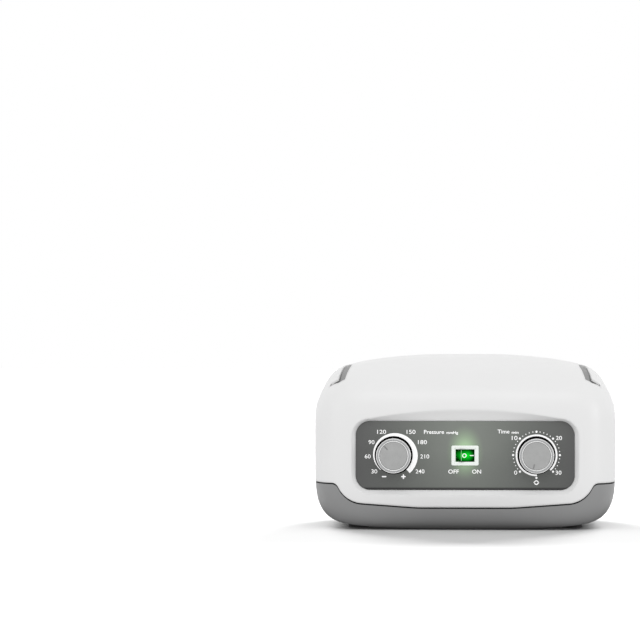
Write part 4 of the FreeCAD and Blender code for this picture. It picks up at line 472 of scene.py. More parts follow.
# %% Stacked sheets and wound wire
def striped(name, dark, light, roughness, across, pitch, rise, metallic=0.0):
    """Bands across one axis: height and colour follow a sine of (place / pitch)."""
    material, tree, skin = finish(name, light, roughness, Metallic=metallic)
    point = place(tree, turn=across)
    bands = add(tree, "TexWave", {"bands_direction": "X"}, Vector=point,
                Scale=2 * math.pi / 20 / (pitch * MM), Distortion=0.6, Detail=1.0).outputs[1]
    patches = level(tree, cloud(tree, place(tree), 7 * MM, 4), 0, 0.35)
    paint = tint(tree, bands, dark, light)
    drive(skin, Base_Color=tint(tree, patches, paint, shade(dark, 0.8)),
          Normal=relief(tree, bands, rise * MM))
    return material


FINISHES["core_steel"] = striped("core_steel", (0.04, 0.04, 0.045), (0.13, 0.13, 0.14), 0.4,
                                 (0, 90, 0), 0.5, 0.02, 0.6)
FINISHES["coil_copper"] = striped("coil_copper", (0.20, 0.07, 0.02), (0.50, 0.20, 0.07), 0.3,
                                  (0, 0, 90), 0.45, 0.1, 0.7)
print("cores and windings are ready")


# %% Circuit board
def circuit_board(name):
    """Green lacquer, paler over tracks: a cell pattern cut to thin lines."""
    material, tree, skin = finish(name, (0.02, 0.16, 0.06), 0.3, Coat_Weight=0.4,
                                  Coat_Roughness=0.15)
    cells = add(tree, "TexVoronoi", {"feature": "DISTANCE_TO_EDGE"}, Vector=place(tree),
                Scale=1 / (5 * MM)).outputs["Distance"]
    tracks = level(tree, cells, 1, 0, 0.05, 0.09)
    drive(skin, Base_Color=tint(tree, tracks, (0.015, 0.13, 0.05), (0.05, 0.26, 0.09)),
          Normal=relief(tree, tracks, 0.03 * MM))
    return material


FINISHES["board_green"] = circuit_board("board_green")
print("board is ready")


# %% Felt, silicone, glass and potting
def felt(name, colour):
    """Two crossed fibre noises, one stretched each way, roughen a soft sheen."""
    material, tree, skin = finish(name, colour, 0.95, Sheen_Weight=0.6, Sheen_Roughness=0.6)
    one = cloud(tree, place(tree, turn=(0, 0, 30), stretch=(0.15, 1, 1)), 0.25 * MM, 3)
    two = cloud(tree, place(tree, turn=(0, 0, -40), stretch=(1, 0.15, 1)), 0.25 * MM, 3)
    fibres = maths(tree, "MAXIMUM", one, two)
    drive(skin, Base_Color=tint(tree, level(tree, fibres, 0, 1), shade(colour, 0.8), colour),
          Normal=relief(tree, fibres, 0.15 * MM))
    return material


FINISHES["filter_felt"] = felt("filter_felt", (0.76, 0.75, 0.70))
FINISHES["tube_silicone"] = moulded("tube_silicone", (0.66, 0.68, 0.67), 0.38, grain=1.2,
                                    rise=0.01, drift=0.04, Subsurface_Weight=0.15,
                                    Subsurface_Scale=0.002)
FINISHES["fuse_glass"] = moulded("fuse_glass", (0.78, 0.82, 0.82), 0.08, rise=0.002, drift=0.02,
                                 Transmission_Weight=0.7)
FINISHES["transformer_dark"] = moulded("transformer_dark", (0.035, 0.035, 0.042), 0.35,
                                       grain=1.5, rise=0.05, drift=0.15)
print(len(FINISHES), "finishes so far")

# %% [markdown]
# ## The printed panel
#
# The panel is a plastic plate printed satin grey. Its colour is painted darker towards its ends, as
# painted reflection, darker in its lower half as painted shade, and nearly black along its lower
# edge as a painted shadow line. Light of the lit switch is painted on the print around it as a
# faint
# emission: a soft green halo, stronger above the switch than below, that fades with the distance
# from a point just above the switch's middle.

# %% Greys, painted shade and painted halo of the print
# The end grey is painted reflection, the low grey painted shade, the rim grey a painted shadow
# line, and the halo a painted glow
MIDDLE_GREY, END_REFLECTION_GREY = (0.215, 0.232, 0.210), (0.106, 0.107, 0.106)
LOW_SHADE_GREY, RIM_SHADOW_GREY = (0.075, 0.076, 0.075), (0.02, 0.02, 0.02)
END_SPAN = (10 * MM, 84 * MM)                           # |x| from the first to the second grey
LOW_SPAN = (ROW_Z - 26 * MM, ROW_Z + 4 * MM)            # z where the low grey goes out
PANEL_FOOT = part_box("control_panel")[0].z
RIM_SPAN = (PANEL_FOOT + 1.0 * MM, PANEL_FOOT + 2.4 * MM)
HALO_GLOW_GREEN, HALO_FALL = (0.19, 0.33, 0.15), 1.7
HALO_UP, HALO_SHAPE = 2.1 * MM, (1.5, 0, 1)             # its centre above the row, its stretch
HALO_FULL, HALO_END = 7 * MM, 23 * MM                   # where it starts to fade and is gone
print("the halo reaches", round(HALO_END / MM), "mm up and down")


# %% Grey print with painted shade and a painted halo round the switch
def printed_panel(name):
    """Grey by |x|, then by z in the lower half and at the lower edge, each time from one grey to
    the
    next: painted reflection, painted shade and a painted shadow line; painted halo = the share of
    the way from its end to its full light, to a power."""
    material, tree, skin = finish(name, MIDDLE_GREY, 0.36, Specular_IOR_Level=0.3,
                                  Emission_Strength=1.0)
    point = place(tree)
    x, _, z = add(tree, "SeparateXYZ", Vector=point).outputs
    ends = level(tree, maths(tree, "ABSOLUTE", x), 0, 1, *END_SPAN)
    greys_with_painted_light = tint(tree, ends, MIDDLE_GREY, END_REFLECTION_GREY)
    greys_with_painted_light = tint(tree, level(tree, z, 0.35, 0, *LOW_SPAN), greys_with_painted_light, LOW_SHADE_GREY)
    greys_with_painted_light = tint(tree, level(tree, z, 0.95, 0, *RIM_SPAN), greys_with_painted_light, RIM_SHADOW_GREY)
    lit = place(tree, (0, PANEL_FACE, ROW_Z + HALO_UP), stretch=HALO_SHAPE)
    halo = level(tree, length(tree, lit), 1, 0, HALO_FULL, HALO_END)
    halo = tint(tree, maths(tree, "POWER", halo, HALO_FALL), (0, 0, 0), HALO_GLOW_GREEN)
    grain = cloud(tree, point, 0.3 * MM, 2)
    worn = cloud(tree, point, 14 * MM, 4)
    drive(skin, Base_Color=greys_with_painted_light, Emission_Color=halo, Roughness=level(tree, worn, 0.32, 0.42),
          Normal=relief(tree, grain, 0.006 * MM))
    return material


FINISHES["panel_grey"] = printed_panel("panel_grey")
print("panel print is ready")


# %% White and black ink
def ink(name, colour, roughness=0.5, **shader):
    """Screen ink: full colour, thinner where a fine noise is low."""
    material, tree, skin = finish(name, colour, roughness, **shader)
    mesh_marks = cloud(tree, place(tree), 0.18 * MM, 1)
    drive(skin, Base_Color=tint(tree, level(tree, mesh_marks, 0, 1), shade(colour, 0.92), colour),
          Normal=relief(tree, mesh_marks, 0.004 * MM))
    return material


# The white ink glows faintly: painted light that makes the print brighter than the lamps make it
WHITE_INK = ink("white_ink", (0.97, 0.97, 0.97), Emission_Color=(1, 1, 1, 1),
                Emission_Strength=0.26)
BLACK_INK = ink("black_ink", (0.004, 0.004, 0.004), 0.8, Specular_IOR_Level=0.05)
print("two inks are ready")

# %% [markdown]
# ## The lit rocker
#
# A lamp behind the green rocker shines brightest right of the middle and leaves the corners nearly
# black. The distances to the left, to the right and across the row are turned into shares that
# reach 1 where the light ends.

# %% Green glow
GLOW_X = 1.9 * MM
GLOW_LEFT, GLOW_RIGHT, GLOW_ACROSS = 11 * MM, 5.4 * MM, 5.2 * MM
GLOW_FALL = 1.35


def lit_green(name, bright_x):
    """Emission = (1 - length of the three shares of the way out from bright_x) to a power."""
    material, tree, skin = finish(name, (0.001, 0.02, 0.002), 0.3, Specular_IOR_Level=0.0,
                                  Emission_Strength=1.0)
    x, _, z = add(tree, "SeparateXYZ", Vector=place(tree, (bright_x, 0, ROW_Z))).outputs
    aside = maths(tree, "ABSOLUTE", z)
    share = add(tree, "CombineXYZ", X=level(tree, x, 1, 0, -GLOW_LEFT, 0),
                Y=level(tree, x, 0, 1, 0, GLOW_RIGHT), Z=level(tree, aside, 0, 1, 0, GLOW_ACROSS))
    bright = level(tree, length(tree, share.outputs[0]), 1, 0, 0, 1)
    glow = tint(tree, maths(tree, "POWER", bright, GLOW_FALL), (0.0, 0.004, 0.0),
                (0.005, 0.85, 0.03))
    streaks = cloud(tree, place(tree, stretch=(1, 1, 0.2)), 0.8 * MM, 2)
    drive(skin, Emission_Color=glow, Normal=relief(tree, streaks, 0.01 * MM))
    return material


FINISHES["rocker_green"] = lit_green("rocker_green", GLOW_X)
print("rocker glows from x =", GLOW_X / MM, "mm")

# %% [markdown]
# ## Knob and cap
#
# The knob is moulded in silver-grey and its cap is a spun aluminium disc. The spun disc has rings
# round its own middle, so each cap gets its own material, centred on its dial.

# %% Knob plastic and spun caps
FINISHES["knob_grey"] = moulded("knob_grey", (0.40, 0.405, 0.41), 0.3, grain=0.25, rise=0.006,
                                Metallic=0.55)
CAPS = {node: turned_metal(node + "_spun", (0.43, 0.433, 0.43), 0.36, middle(node))
        for node in ("pressure_knob_cap", "timer_knob_cap")}
FINISHES["cap_alloy"] = CAPS["pressure_knob_cap"]
print(len(CAPS), "caps have rings round their own dials")

# %% Give every node its finish
for row in frame["record"]["subparts"]:
    node = frame["nodes"][row["node"]]
    dress = CAPS.get(row["node"], FINISHES[row["material_slot"]])
    for holder in node.material_slots:
        holder.material = dress

# %% [markdown]
# ## Fluted knobs
#
# A knob is a turned form with flutes down its side. Its radius at any height is that of a
# profile, and the flutes take a little more away where a cosine round the knob is high. The
# profile is rounded at each edge, because a sharp edge never catches the light. It starts in the
# middle of the recess for the cap, goes over the rim and down the side, and comes back up the
# hollow and the shaft's bore, so the skin is closed.

# %% Turn a profile about Y
def turn(profile, centre, count, depth=0.0, flutes=1, window=None):
    """Profile of (radius, y) turned about Y: radius is less by depth times the window at that y
    times the square of the positive cosine of (flutes times angle)."""
    angle = np.linspace(0, 2 * np.pi, count, endpoint=False)[None, :]
    radius, y = profile[:, :1], profile[:, 1:]
    valley = np.maximum(np.cos(flutes * angle), 0) ** 2
    share = window(y) if window else 0
    radius = radius - depth * share * valley
    return np.stack([centre[0] + radius * np.cos(angle), centre[1] + y + 0 * angle,
                     centre[2] + radius * np.sin(angle)], -1)


# %% Profile of a knob
low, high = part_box("pressure_knob")
FACE_Y, HIGH = low.y, high.y - low.y
low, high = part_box("pressure_knob_cap")
CAP_R, CAP_DEEP = (high.x - low.x) / 2, high.y - FACE_Y
RECESS_R, RIM_IN, RIM_OUT = CAP_R + 0.05 * MM, 12.6 * MM, 13.4 * MM
KNOB_R, SKIRT_R, HOLLOW_R, BORE_R = 13.1 * MM, 13.25 * MM, 7.7 * MM, 3.04 * MM
HOLLOW_END, BORE_END = HIGH - 5 * MM, CAP_DEEP + 1.4 * MM
KNOB_CORNERS = np.array([                           # radius, depth below the face, bend
    (0, CAP_DEEP, 0),
    (RECESS_R, CAP_DEEP, 0),
    (RECESS_R, 0.15 * MM, 0.12 * MM),
    (RIM_IN, 0, 0.35 * MM),
    (RIM_OUT, 0.5 * MM, 0.4 * MM),
    (KNOB_R, HIGH - 2.6 * MM, 0.3 * MM),
    (SKIRT_R, HIGH - 1.9 * MM, 0.2 * MM),
    (SKIRT_R, HIGH, 0.25 * MM),
    (HOLLOW_R, HIGH, 0.2 * MM),
    (HOLLOW_R, HOLLOW_END, 0),
    (BORE_R, HOLLOW_END, 0),
    (BORE_R, BORE_END, 0),
    (0, BORE_END, 0)])
outline = rounded(KNOB_CORNERS[:, :2], KNOB_CORNERS[1:-1, 2])
print("knob profile has", len(outline), "points")


# %% Make both knobs
FLUTES, FLUTE_DEEP = 36, 0.45 * MM
KNOBS = {"pressure_knob": "pressure_dial", "timer_knob": "timer_dial"}     # node and its body


def fluted(y):
    """1 from 2 mm below the face to 3.4 mm above the back, falling to 0 over 0.5 mm."""
    rise = np.clip((y - 1.5 * MM) / (0.5 * MM), 0, 1)
    fall = np.clip((HIGH - 2.9 * MM - y) / (0.5 * MM), 0, 1)
    return rise * fall


def with_side_rows(profile, rows=8):
    """Adds rows down the long side, closer near the face, so that the flutes' ends can curve."""
    side = np.flatnonzero((np.diff(profile[:, 1]) > 5 * MM))[0]
    t = np.linspace(0, 1, rows + 2)[1:-1, None]
    t = np.concatenate([t * 0.35, 0.35 + t * 0.6])
    between = profile[side] + (profile[side + 1] - profile[side]) * t
    return np.concatenate([profile[:side + 1], between, profile[side + 1:]])


outline = with_side_rows(outline)
for node, body in KNOBS.items():
    centre = middle(node)
    side = turn(outline, (centre.x, FACE_Y, centre.z), 12 * FLUTES, FLUTE_DEEP, FLUTES, fluted)
    knob = closed_piece(node + "_fluted", [(side, False, True)], FINISHES["knob_grey"], body,
                        sharp=28)
    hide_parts(node)

# %% [markdown]
# A hard bright ring runs round the rim and another round the cap: painted highlights where the
# knob's edges catch the light, made as near-white metal. Each is a slim circle carried round the
# dial. The notch that points at the scale has a dark line in it, laid just above the notch's floor.

# %% Painted highlight rings
# Near-white metal for the painted highlights on the knobs' edges
HIGHLIGHT_RING_METAL = brushed_metal("painted_highlight_edge", (0.97, 0.97, 0.96), 0.3, (1, 1, 1), 3.0, 0.03)
CAP_RING = (11.3 * MM, 0.32 * MM, FACE_Y + 0.34 * MM)       # radius, thickness and y
RIM_RING = (13.2 * MM, 0.26 * MM, FACE_Y + 0.45 * MM)


def edge_ring(radius, thick, y, centre):
    """Circle of this thickness turned about the dial's axis."""
    around = np.radians(np.arange(0, 360, 30))
    profile = np.stack([radius + thick * np.cos(around), y + thick * np.sin(around)], -1)
    return turn(profile, (centre.x, 0, centre.z), 128), True, True


print("rings have radii of", round(CAP_RING[0] / MM, 1), "and", round(RIM_RING[0] / MM, 1), "mm")

# %% Pointers, and both pieces on each dial
POINTER = ink("pointer_ink", (0.32, 0.32, 0.32), 0.6)
POINTS_AT = {"pressure_knob": 134, "timer_knob": 255}       # degrees, from the right
NOTCH_LINE = (6.7, 10.8, 0.75)                              # start, stop and width, in mm
NOTCH_DEPTHS = (0.65, 0.45)                                 # the line's back and front, in mm


def pointer_line(centre, angle, start, stop, width):
    """A flat lath from start to stop along the notch, lying on its floor."""
    a = math.radians(angle)
    along, across = np.array([math.cos(a), math.sin(a)]), np.array([-math.sin(a), math.cos(a)])
    far = np.array([start, start, stop, stop])[None, :]
    side = np.array([-1, 1, 1, -1])[None, :] * width / 2
    flat = far[..., None] * along + side[..., None] * across
    y = FACE_Y + np.array(NOTCH_DEPTHS)[:, None] * MM
    x, y, z = np.broadcast_arrays(centre.x + flat[..., 0] * MM, y, centre.z + flat[..., 1] * MM)
    return np.stack([x, y, z], -1), False, True


for node, body in KNOBS.items():
    centre = middle(node)
    rings = [edge_ring(*CAP_RING, centre), edge_ring(*RIM_RING, centre)]
    closed_piece(node + "_edges", rings, HIGHLIGHT_RING_METAL, body, sharp=60)
    line = pointer_line(centre, POINTS_AT[node], *NOTCH_LINE)
    closed_piece(node + "_pointer", [line], POINTER, body)

# %% [markdown]
# ## Printed scales
#
# The scales are screen printed, about a twentieth of a millimetre thick. Round the pressure dial
# runs a wedge that widens from low to high: it lies between two circles whose centres differ.
# Round the timer runs a plain ring. Each printed band is a grid with one parameter along the arc
# and one round its thin cross-section.

# %% Bands between two arcs
INK_RISE, INK_SINK = 0.05 * MM, 0.02 * MM


def band(x, z, radius, angles, widths, count=140):
    """Arc about (x, z) that is widths wide outwards at these angles, straight in between, all in
    mm and degrees. Its section rises from inside the panel, with a bevel at each edge."""
    turned = np.linspace(angles[0], angles[-1], count)
    wide = np.interp(turned, angles, widths)[:, None]
    angle = np.radians(turned)[:, None]
    share = np.array([0, 0, 0.04, 0.96, 1, 1])[None, :]
    height = np.array([INK_SINK, -0.6 * INK_RISE, -INK_RISE, -INK_RISE, -0.6 * INK_RISE, INK_SINK])
    reach = (radius + wide * share) * MM
    y = np.broadcast_to(PANEL_FACE + height, reach.shape)
    points = [x * MM + reach * np.cos(angle), y, z * MM + reach * np.sin(angle)]
    return np.stack(points, -1), False, True


def on_panel(name, grids, material=WHITE_INK):
    """A print on the panel: it rides on the housing, as the panel does."""
    return closed_piece(name, grids, material, "housing")


WEDGE_AT, WEDGE_R = (-55.5, 58.25), 14.87
WEDGE_WIDTHS = {-48: 3.85, 0: 3.9, 90: 2.25, 180: 1.1, 229: 0.45}      # by the angle
RING_AT, RING_R, RING_WIDTH, RING_ENDS = (55.5, 58.33), 14.85, 1.35, [-47, 271]
on_panel("pressure_wedge",
         [band(*WEDGE_AT, WEDGE_R, list(WEDGE_WIDTHS), list(WEDGE_WIDTHS.values()))])
on_panel("timer_ring", [band(*RING_AT, RING_R, RING_ENDS, [RING_WIDTH, RING_WIDTH])])

# %% [markdown]
# Behind each knob lies a black disc, a little wider than the knob and set a little off its centre:
# partly print, partly the knob's painted shadow. The minute dots are low domes: a small turned
# profile, repeated round the dial.

# %% Black discs, partly painted shadow
DISC_IN, DISC_OUT, DISC_RISE = 5.0, 14.9, 0.02      # hole, rim and half the thickness, in mm
# The discs sit a little off the knobs' centres, where the knobs' shadows fall: painted shadow
DISC_X, DISC_Z = 55.25 * MM, 58.35 * MM
DISC = np.array([(DISC_IN, DISC_RISE), (DISC_IN, -DISC_RISE), (DISC_OUT, -DISC_RISE),
                 (DISC_OUT, DISC_RISE)]) * MM
for name, x in (("pressure_disc_and_shadow", -DISC_X), ("timer_disc_and_shadow", DISC_X)):
    on_panel(name, [(turn(DISC, (x, PANEL_FACE, DISC_Z), 128), True, True)], BLACK_INK)

# %% Minute dots
# Profile of a dot: share of its radius, and y in mm.
DOT = np.array([(0, 0.02), (1, 0.02), (1, -0.03), (0.8, -0.05), (0, -0.055)])
DOTS_X, DOTS_Z, DOTS_R = 55.45 * MM, 58.5 * MM, 18.13 * MM
BIG_DOT, SMALL_DOT = 0.85 * MM, 0.42 * MM
ZERO_AT, MINUTE_TURN, MINUTES = 225, 9, 30      # degrees of 0, degrees to a minute, minutes


def dome(x, z, radius):
    """The dot's profile, stretched to this radius and turned about (x, z)."""
    return turn(DOT * (radius, MM), (x, PANEL_FACE, z), 14), False, True


def dot(minute):
    """The dome of one minute on the timer's dot circle, big at every fifth."""
    a = math.radians(ZERO_AT - MINUTE_TURN * minute)
    return dome(DOTS_X + DOTS_R * math.cos(a), DOTS_Z + DOTS_R * math.sin(a),
                SMALL_DOT if minute % 5 else BIG_DOT)


on_panel("timer_dots", [dot(minute) for minute in range(MINUTES + 1)])

# %% [markdown]
# ## Numbers and words
#
# Numbers come from Blender's own font. A text is made a mesh first and then stood up against the
# panel, so that the finished piece's object needs no turn. The height given is that of a capital.

# %% Turn a text into a mesh
def text_mesh(text, weight):
    """Mesh of one text at a size of 1, its baseline at y = 0."""
    curve = bpy.data.curves.new("text", "FONT")
    curve.body, curve.size, curve.offset, curve.extrude = text, 1.0, weight, 0.5
    curve.resolution_u = 4
    holder = bpy.data.objects.new("text", curve)
    bpy.context.scene.collection.objects.link(holder)
    bpy.context.view_layer.update()
    graph = bpy.context.evaluated_depsgraph_get()
    mesh = bpy.data.meshes.new_from_object(holder.evaluated_get(graph))
    bpy.data.objects.remove(holder)
    return mesh


def corners_of(mesh):
    """All corners of a mesh as one array."""
    points = np.zeros(len(mesh.vertices) * 3, np.float32)
    mesh.vertices.foreach_get("co", points)
    return points.reshape(-1, 3)


CAPITAL = np.ptp(corners_of(text_mesh("H", 0))[:, 1])
print("a capital is", round(float(CAPITAL), 3), "of the font's size")


# %% Lay out texts on the panel
def printed(name, marks, material):
    """One piece from (text, x, z, width, height, weight) marks in mm, z at half a capital."""
    joined = bmesh.new()
    for text, x, z, width, height, weight in marks:
        mesh = text_mesh(text, weight)
        points = corners_of(mesh)
        centre = (points[:, 0].min() + points[:, 0].max()) / 2
        scale = height * MM / CAPITAL
        flat = np.stack([(points[:, 0] - centre) / np.ptp(points[:, 0]) * width * MM + x * MM,
                         np.where(points[:, 2] > 0, -INK_RISE, INK_SINK) + PANEL_FACE,
                         (points[:, 1] - CAPITAL / 2) * scale + z * MM], -1)
        mesh.vertices.foreach_set("co", flat.ravel())
        joined.from_mesh(mesh)
        bpy.data.meshes.remove(mesh)
    whole = bpy.data.meshes.new(name)
    joined.to_mesh(whole)
    joined.free()
    return finish_piece(name, whole, material, "housing")


# %% Numbers of both dials
FIGURE = (3.05, 0.004)          # height of a figure in mm, and its extra weight
FIGURE_WIDE = 2.3
PRESSURES_AT = (-53.4, 58.1)
PRESSURES = [("30", 216, 21.2), ("60", 182, 22.3), ("90", 152, 21.9), ("120", 122, 21.6),
             ("150", 58, 21.6), ("180", 27, 22.8), ("210", -2, 22.1), ("240", -34, 22.2)]
TIMES = [("10", 38.5, 71.8, 4.4), ("20", 72.9, 71.8, 4.7), ("0", 39.3, 44.9, 2.4),
         ("30", 72.5, 44.9, 4.6)]


def round_dial(numbers, x, z):
    """Marks at (text, angle, radius) round (x, z), in mm and degrees."""
    return [(text, x + r * math.cos(math.radians(a)), z + r * math.sin(math.radians(a)),
             FIGURE_WIDE * len(text), *FIGURE) for text, a, r in numbers]


printed("pressure_numbers", round_dial(PRESSURES, *PRESSURES_AT), WHITE_INK)
printed("timer_numbers", [(*mark, *FIGURE) for mark in TIMES], WHITE_INK)

# %% Words
WORD, UNIT, STATE = (2.9, 0.009), (1.9, 0.022), (3.0, 0.009)    # height in mm and weight
printed("panel_words",
        [("Pressure", -24.1, 76.4, 15.6, *WORD), ("mmHg", -9.9, 75.9, 9.0, *UNIT),
         ("Time", 29.9, 76.8, 9.2, *WORD), ("min", 38.9, 76.1, 5.4, *UNIT),
         ("OFF", -8.9, 45.6, 8.2, *STATE), ("ON", 9.0, 45.6, 7.0, *STATE)], WHITE_INK)

# %% [markdown]
# The minus and the plus under the pressure dial are bars with round ends, and so is the stroke on
# the rocker. The sign for running without a time limit is a ring broken by two arrowheads, with a
# dot of the scale above it.

# %% Bars and the continuous sign
def bar(x, z, length, width, angle=0.0, lift=0.0, count=10):
    """A bar with half-round ends: its outline is a circle pulled apart along its length. Where
    bars cross, one is lifted a little, so that their faces don't coincide."""
    turn_at = np.linspace(0, 2 * np.pi, 4 * count, endpoint=False)
    along = np.cos(turn_at) * width / 2 + np.sign(np.cos(turn_at)) * (length - width) / 2
    across = np.sin(turn_at) * width / 2
    a = math.radians(angle)
    rim = np.stack([along * math.cos(a) - across * math.sin(a),
                    along * math.sin(a) + across * math.cos(a)], -1)
    share = np.array([0, 1, 1, 0.93, 0])[:, None] * MM
    height = np.array([INK_SINK, INK_SINK, -0.6 * INK_RISE, -INK_RISE, -INK_RISE])[:, None]
    y = np.broadcast_to(PANEL_FACE + height - lift * MM, (5, 4 * count))
    points = [x * MM + share * rim[:, 0], y, z * MM + share * rim[:, 1]]
    return np.stack(points, -1), False, True


MINUS, PLUS, SIGN_LONG = (-62.9, 41.6), (-47.9, 41.6), 3.6
LIFT = 0.01             # mm between bars that cross
on_panel("pressure_signs", [bar(*MINUS, SIGN_LONG, 1.0), bar(*PLUS, SIGN_LONG, 1.05),
                            bar(*PLUS, SIGN_LONG, 1.05, 90, LIFT)])


# %% Ring with two arrowheads
def small_arc(x, z, radius, width, start, stop):
    """A band of one width whose middle line has this radius."""
    return band(x, z, radius - width / 2, [start, stop], [width, width], 24)


LOOP = (55.35, 37.15, 1.4, 0.8)             # x, z, radius and width of the ring
ARROW = (1.1, 0.7, 30, LIFT)                # length, width, angle and lift of an arrowhead
on_panel("continuous_sign",
         [small_arc(*LOOP, 12, 165), small_arc(*LOOP, 192, 345), bar(53.7, 37.4, *ARROW),
          bar(57.0, 36.9, *ARROW), dome(55.4 * MM, 40.8 * MM, BIG_DOT)])

# %% [markdown]
# A white fillet fills the corner where the panel meets the housing. Its centre line is a rounded
# rectangle just outside the panel's edge, and its section is a small circle.

# %% Fillet round the panel
def rounded_rectangle(half_wide, half_high, corner, count=24):
    """Points and outward directions round a rectangle whose corners are arcs."""
    turned = np.radians(np.linspace(0, 90, count))[None, :] + np.radians([0, 90, 180, 270])[:, None]
    out = np.stack([np.cos(turned), np.sin(turned)], -1)
    corners = np.array([(1, 1), (-1, 1), (-1, -1), (1, -1)])[:, None, :]
    rim = corners * (half_wide - corner, half_high - corner) + corner * out
    return rim.reshape(-1, 2), out.reshape(-1, 2)


def fillet_round(half_wide, half_high, corner, radius, y):
    """Circle of this radius carried along the rounded rectangle in the plane y."""
    rim, out = rounded_rectangle(half_wide, half_high, corner)
    around = np.radians(np.arange(0, 360, 22.5))[None, :]
    flat = rim[:, None, :] + radius * np.cos(around)[..., None] * out[:, None, :]
    depth = np.broadcast_to(y + radius * np.sin(around), flat.shape[:2])
    return np.stack([flat[..., 0], depth, ROW_Z + flat[..., 1]], -1), True, True


low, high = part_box("control_panel")
FILLET_R, FILLET_CORNER, FILLET_SINK = 1.2 * MM, 12.4 * MM, 0.65 * MM
fillet = fillet_round((high.x - low.x) / 2 + FILLET_R, (high.z - low.z) / 2 + FILLET_R,
                      FILLET_CORNER, FILLET_R, PANEL_FACE + FILLET_SINK)
closed_piece("panel_fillet", [fillet], FINISHES["white_shell"], "housing", sharp=60)

# %% [markdown]
# ## Marks on the rocker
#
# The circle and the stroke lie on the rocker's two slanted faces, and a pale green line along its
# raised end is a painted highlight, with a faint glow. Each is laid on the slope it belongs to: a
# ray sent from the front finds the slope, and the flat mark is sheared back onto it.

# %% Lay marks on the slope below them
def slope_under(node, x, z):
    """Point and normal where a ray along +Y meets a node."""
    hit, point, normal, _ = frame["nodes"][node].ray_cast(Vector((x, PANEL_FACE - 0.05, z)),
                                                         Vector((0, 1, 0)))
    assert hit, (node, x, z)
    return point, normal


def laid_on(grids, node, x, z):
    """Moves flat marks from the panel's face onto the plane of the node below (x, z)."""
    point, normal = slope_under(node, x * MM, z * MM)
    placed = []
    for grid, join_rows, join_columns in grids:
        lean = ((grid[..., 0] - point.x) * normal.x / normal.y
                + (grid[..., 2] - point.z) * normal.z / normal.y)
        y = grid[..., 1] - PANEL_FACE + point.y - lean
        placed.append((np.stack([grid[..., 0], y, grid[..., 2]], -1), join_rows, join_columns))
    return placed


# %% Circle, stroke and painted ridge highlight of the rocker
MARK_Z = 58.1
CIRCLE_X, STROKE_X, SLOPE_X, RIDGE_X = -0.5, 5.3, 5.0, -2.9     # the stroke's slope is met at 5
marks = laid_on([small_arc(CIRCLE_X, MARK_Z, 1.4, 0.6, 0, 360)], "switch_rocker", CIRCLE_X, MARK_Z)
marks += laid_on([bar(STROKE_X, MARK_Z, 3.2, 0.65)], "switch_rocker", SLOPE_X, MARK_Z)
closed_piece("rocker_marks", marks, WHITE_INK, "rocker")
# Painted highlight: a pale green glowing line where the rocker's raised end catches the light
RIDGE_HIGHLIGHT_GREEN = ink("painted_ridge_highlight", (0.30, 0.62, 0.34), 0.4, Emission_Color=(0.2, 0.5, 0.22, 1),
                 Emission_Strength=0.5)
ridge_highlight = laid_on([bar(RIDGE_X, MARK_Z, 8.4, 0.3, 90)], "switch_rocker", RIDGE_X, MARK_Z)
closed_piece("rocker_ridge_highlight", ridge_highlight, RIDGE_HIGHLIGHT_GREEN, "rocker")

# %% [markdown]
# Where the pressed rocker leaves a gap, a dark green sheet shows on the floor of the well: painted
# shade of the deep well, in the rocker's glowing green.

# %% Painted shade sheet in the well
# Painted shade: a dark sheet in the rocker's glowing finish, laid where the well is in shade
WELL_FLOOR = slope_under("switch_frame", -6 * MM, ROW_Z)[0].y
WELL_SHEET_SIZE = (7.1 * MM, 4.5 * MM, 0.6 * MM)      # half width, half height and corner
WELL_SHEET_RISE, WELL_SHEET_SINK = 0.5 * MM, 0.05 * MM      # above the well's floor and into it
rim, _ = rounded_rectangle(*WELL_SHEET_SIZE, 4)
sheet = np.stack([np.stack([rim[:, 0], np.full(len(rim), WELL_FLOOR + y), ROW_Z + rim[:, 1]], -1)
                  for y in (-WELL_SHEET_RISE, WELL_SHEET_SINK)])
closed_piece("well_shade_sheet", [(sheet, False, True)], FINISHES["rocker_green"], "housing")

# %% [markdown]
# ## The regulator's spring
#
# Turning the pressure dial moves a seat that presses on a spring, which shortens. The coil ends on
# the seat at one end and on the housing at the other, so it isn't tied to one body; nothing here
# shortens it.

# %% Coil between the seat and the housing
def coil(centre, radius, wire, start, stop, turns, steps=36):
    """A circle of the wire's radius carried along a helix about Y. At angle a the helix is at
    (radius cos a, start + (stop - start) a / whole, -radius sin a) from the centre."""
    whole = 2 * np.pi * turns
    a = np.linspace(0, whole, turns * steps + 1)[:, None]
    out = np.stack([np.cos(a), 0 * a, -np.sin(a)], -1)
    rise = np.array([0, (stop - start) / whole, 0])
    ahead = np.stack([-np.sin(a), 0 * a, -np.cos(a)], -1) * radius + rise
    side = np.cross(ahead / np.linalg.norm(ahead, axis=-1, keepdims=True), out)
    around = np.radians(np.arange(0, 360, 30))[None, :, None]
    middle_line = np.array([centre.x, start, centre.z]) + out * radius + rise * a[..., None]
    return middle_line + wire * (np.cos(around) * out + np.sin(around) * side), False, True


low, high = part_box("regulator_spring")
COIL_R, WIRE_R, COIL_TURNS = 7.5 * MM, 0.7 * MM, 4
spring = coil(middle("regulator_spring"), COIL_R, WIRE_R, low.y + WIRE_R, high.y - WIRE_R,
              COIL_TURNS)
spring = closed_piece("regulator_coil", [spring], FINISHES["spring_steel"], None,
                      sharp=60)
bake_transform(spring)
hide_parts("regulator_spring")

# %% [markdown]
# ## Stage
#
# A pale floor, a white surround and broad soft lamps, the way small products are shown. The
# surround is white to the camera and in reflections, and a little less as a light. Two lamps
# behind the pump light the floor alone, so that its shadow falls towards the viewer. The camera
# sees the floor as a matt card. For every other ray it is a plain glow, weak where the pump shades
# it and stronger further out, so that the light which it throws up on the pump can be set.

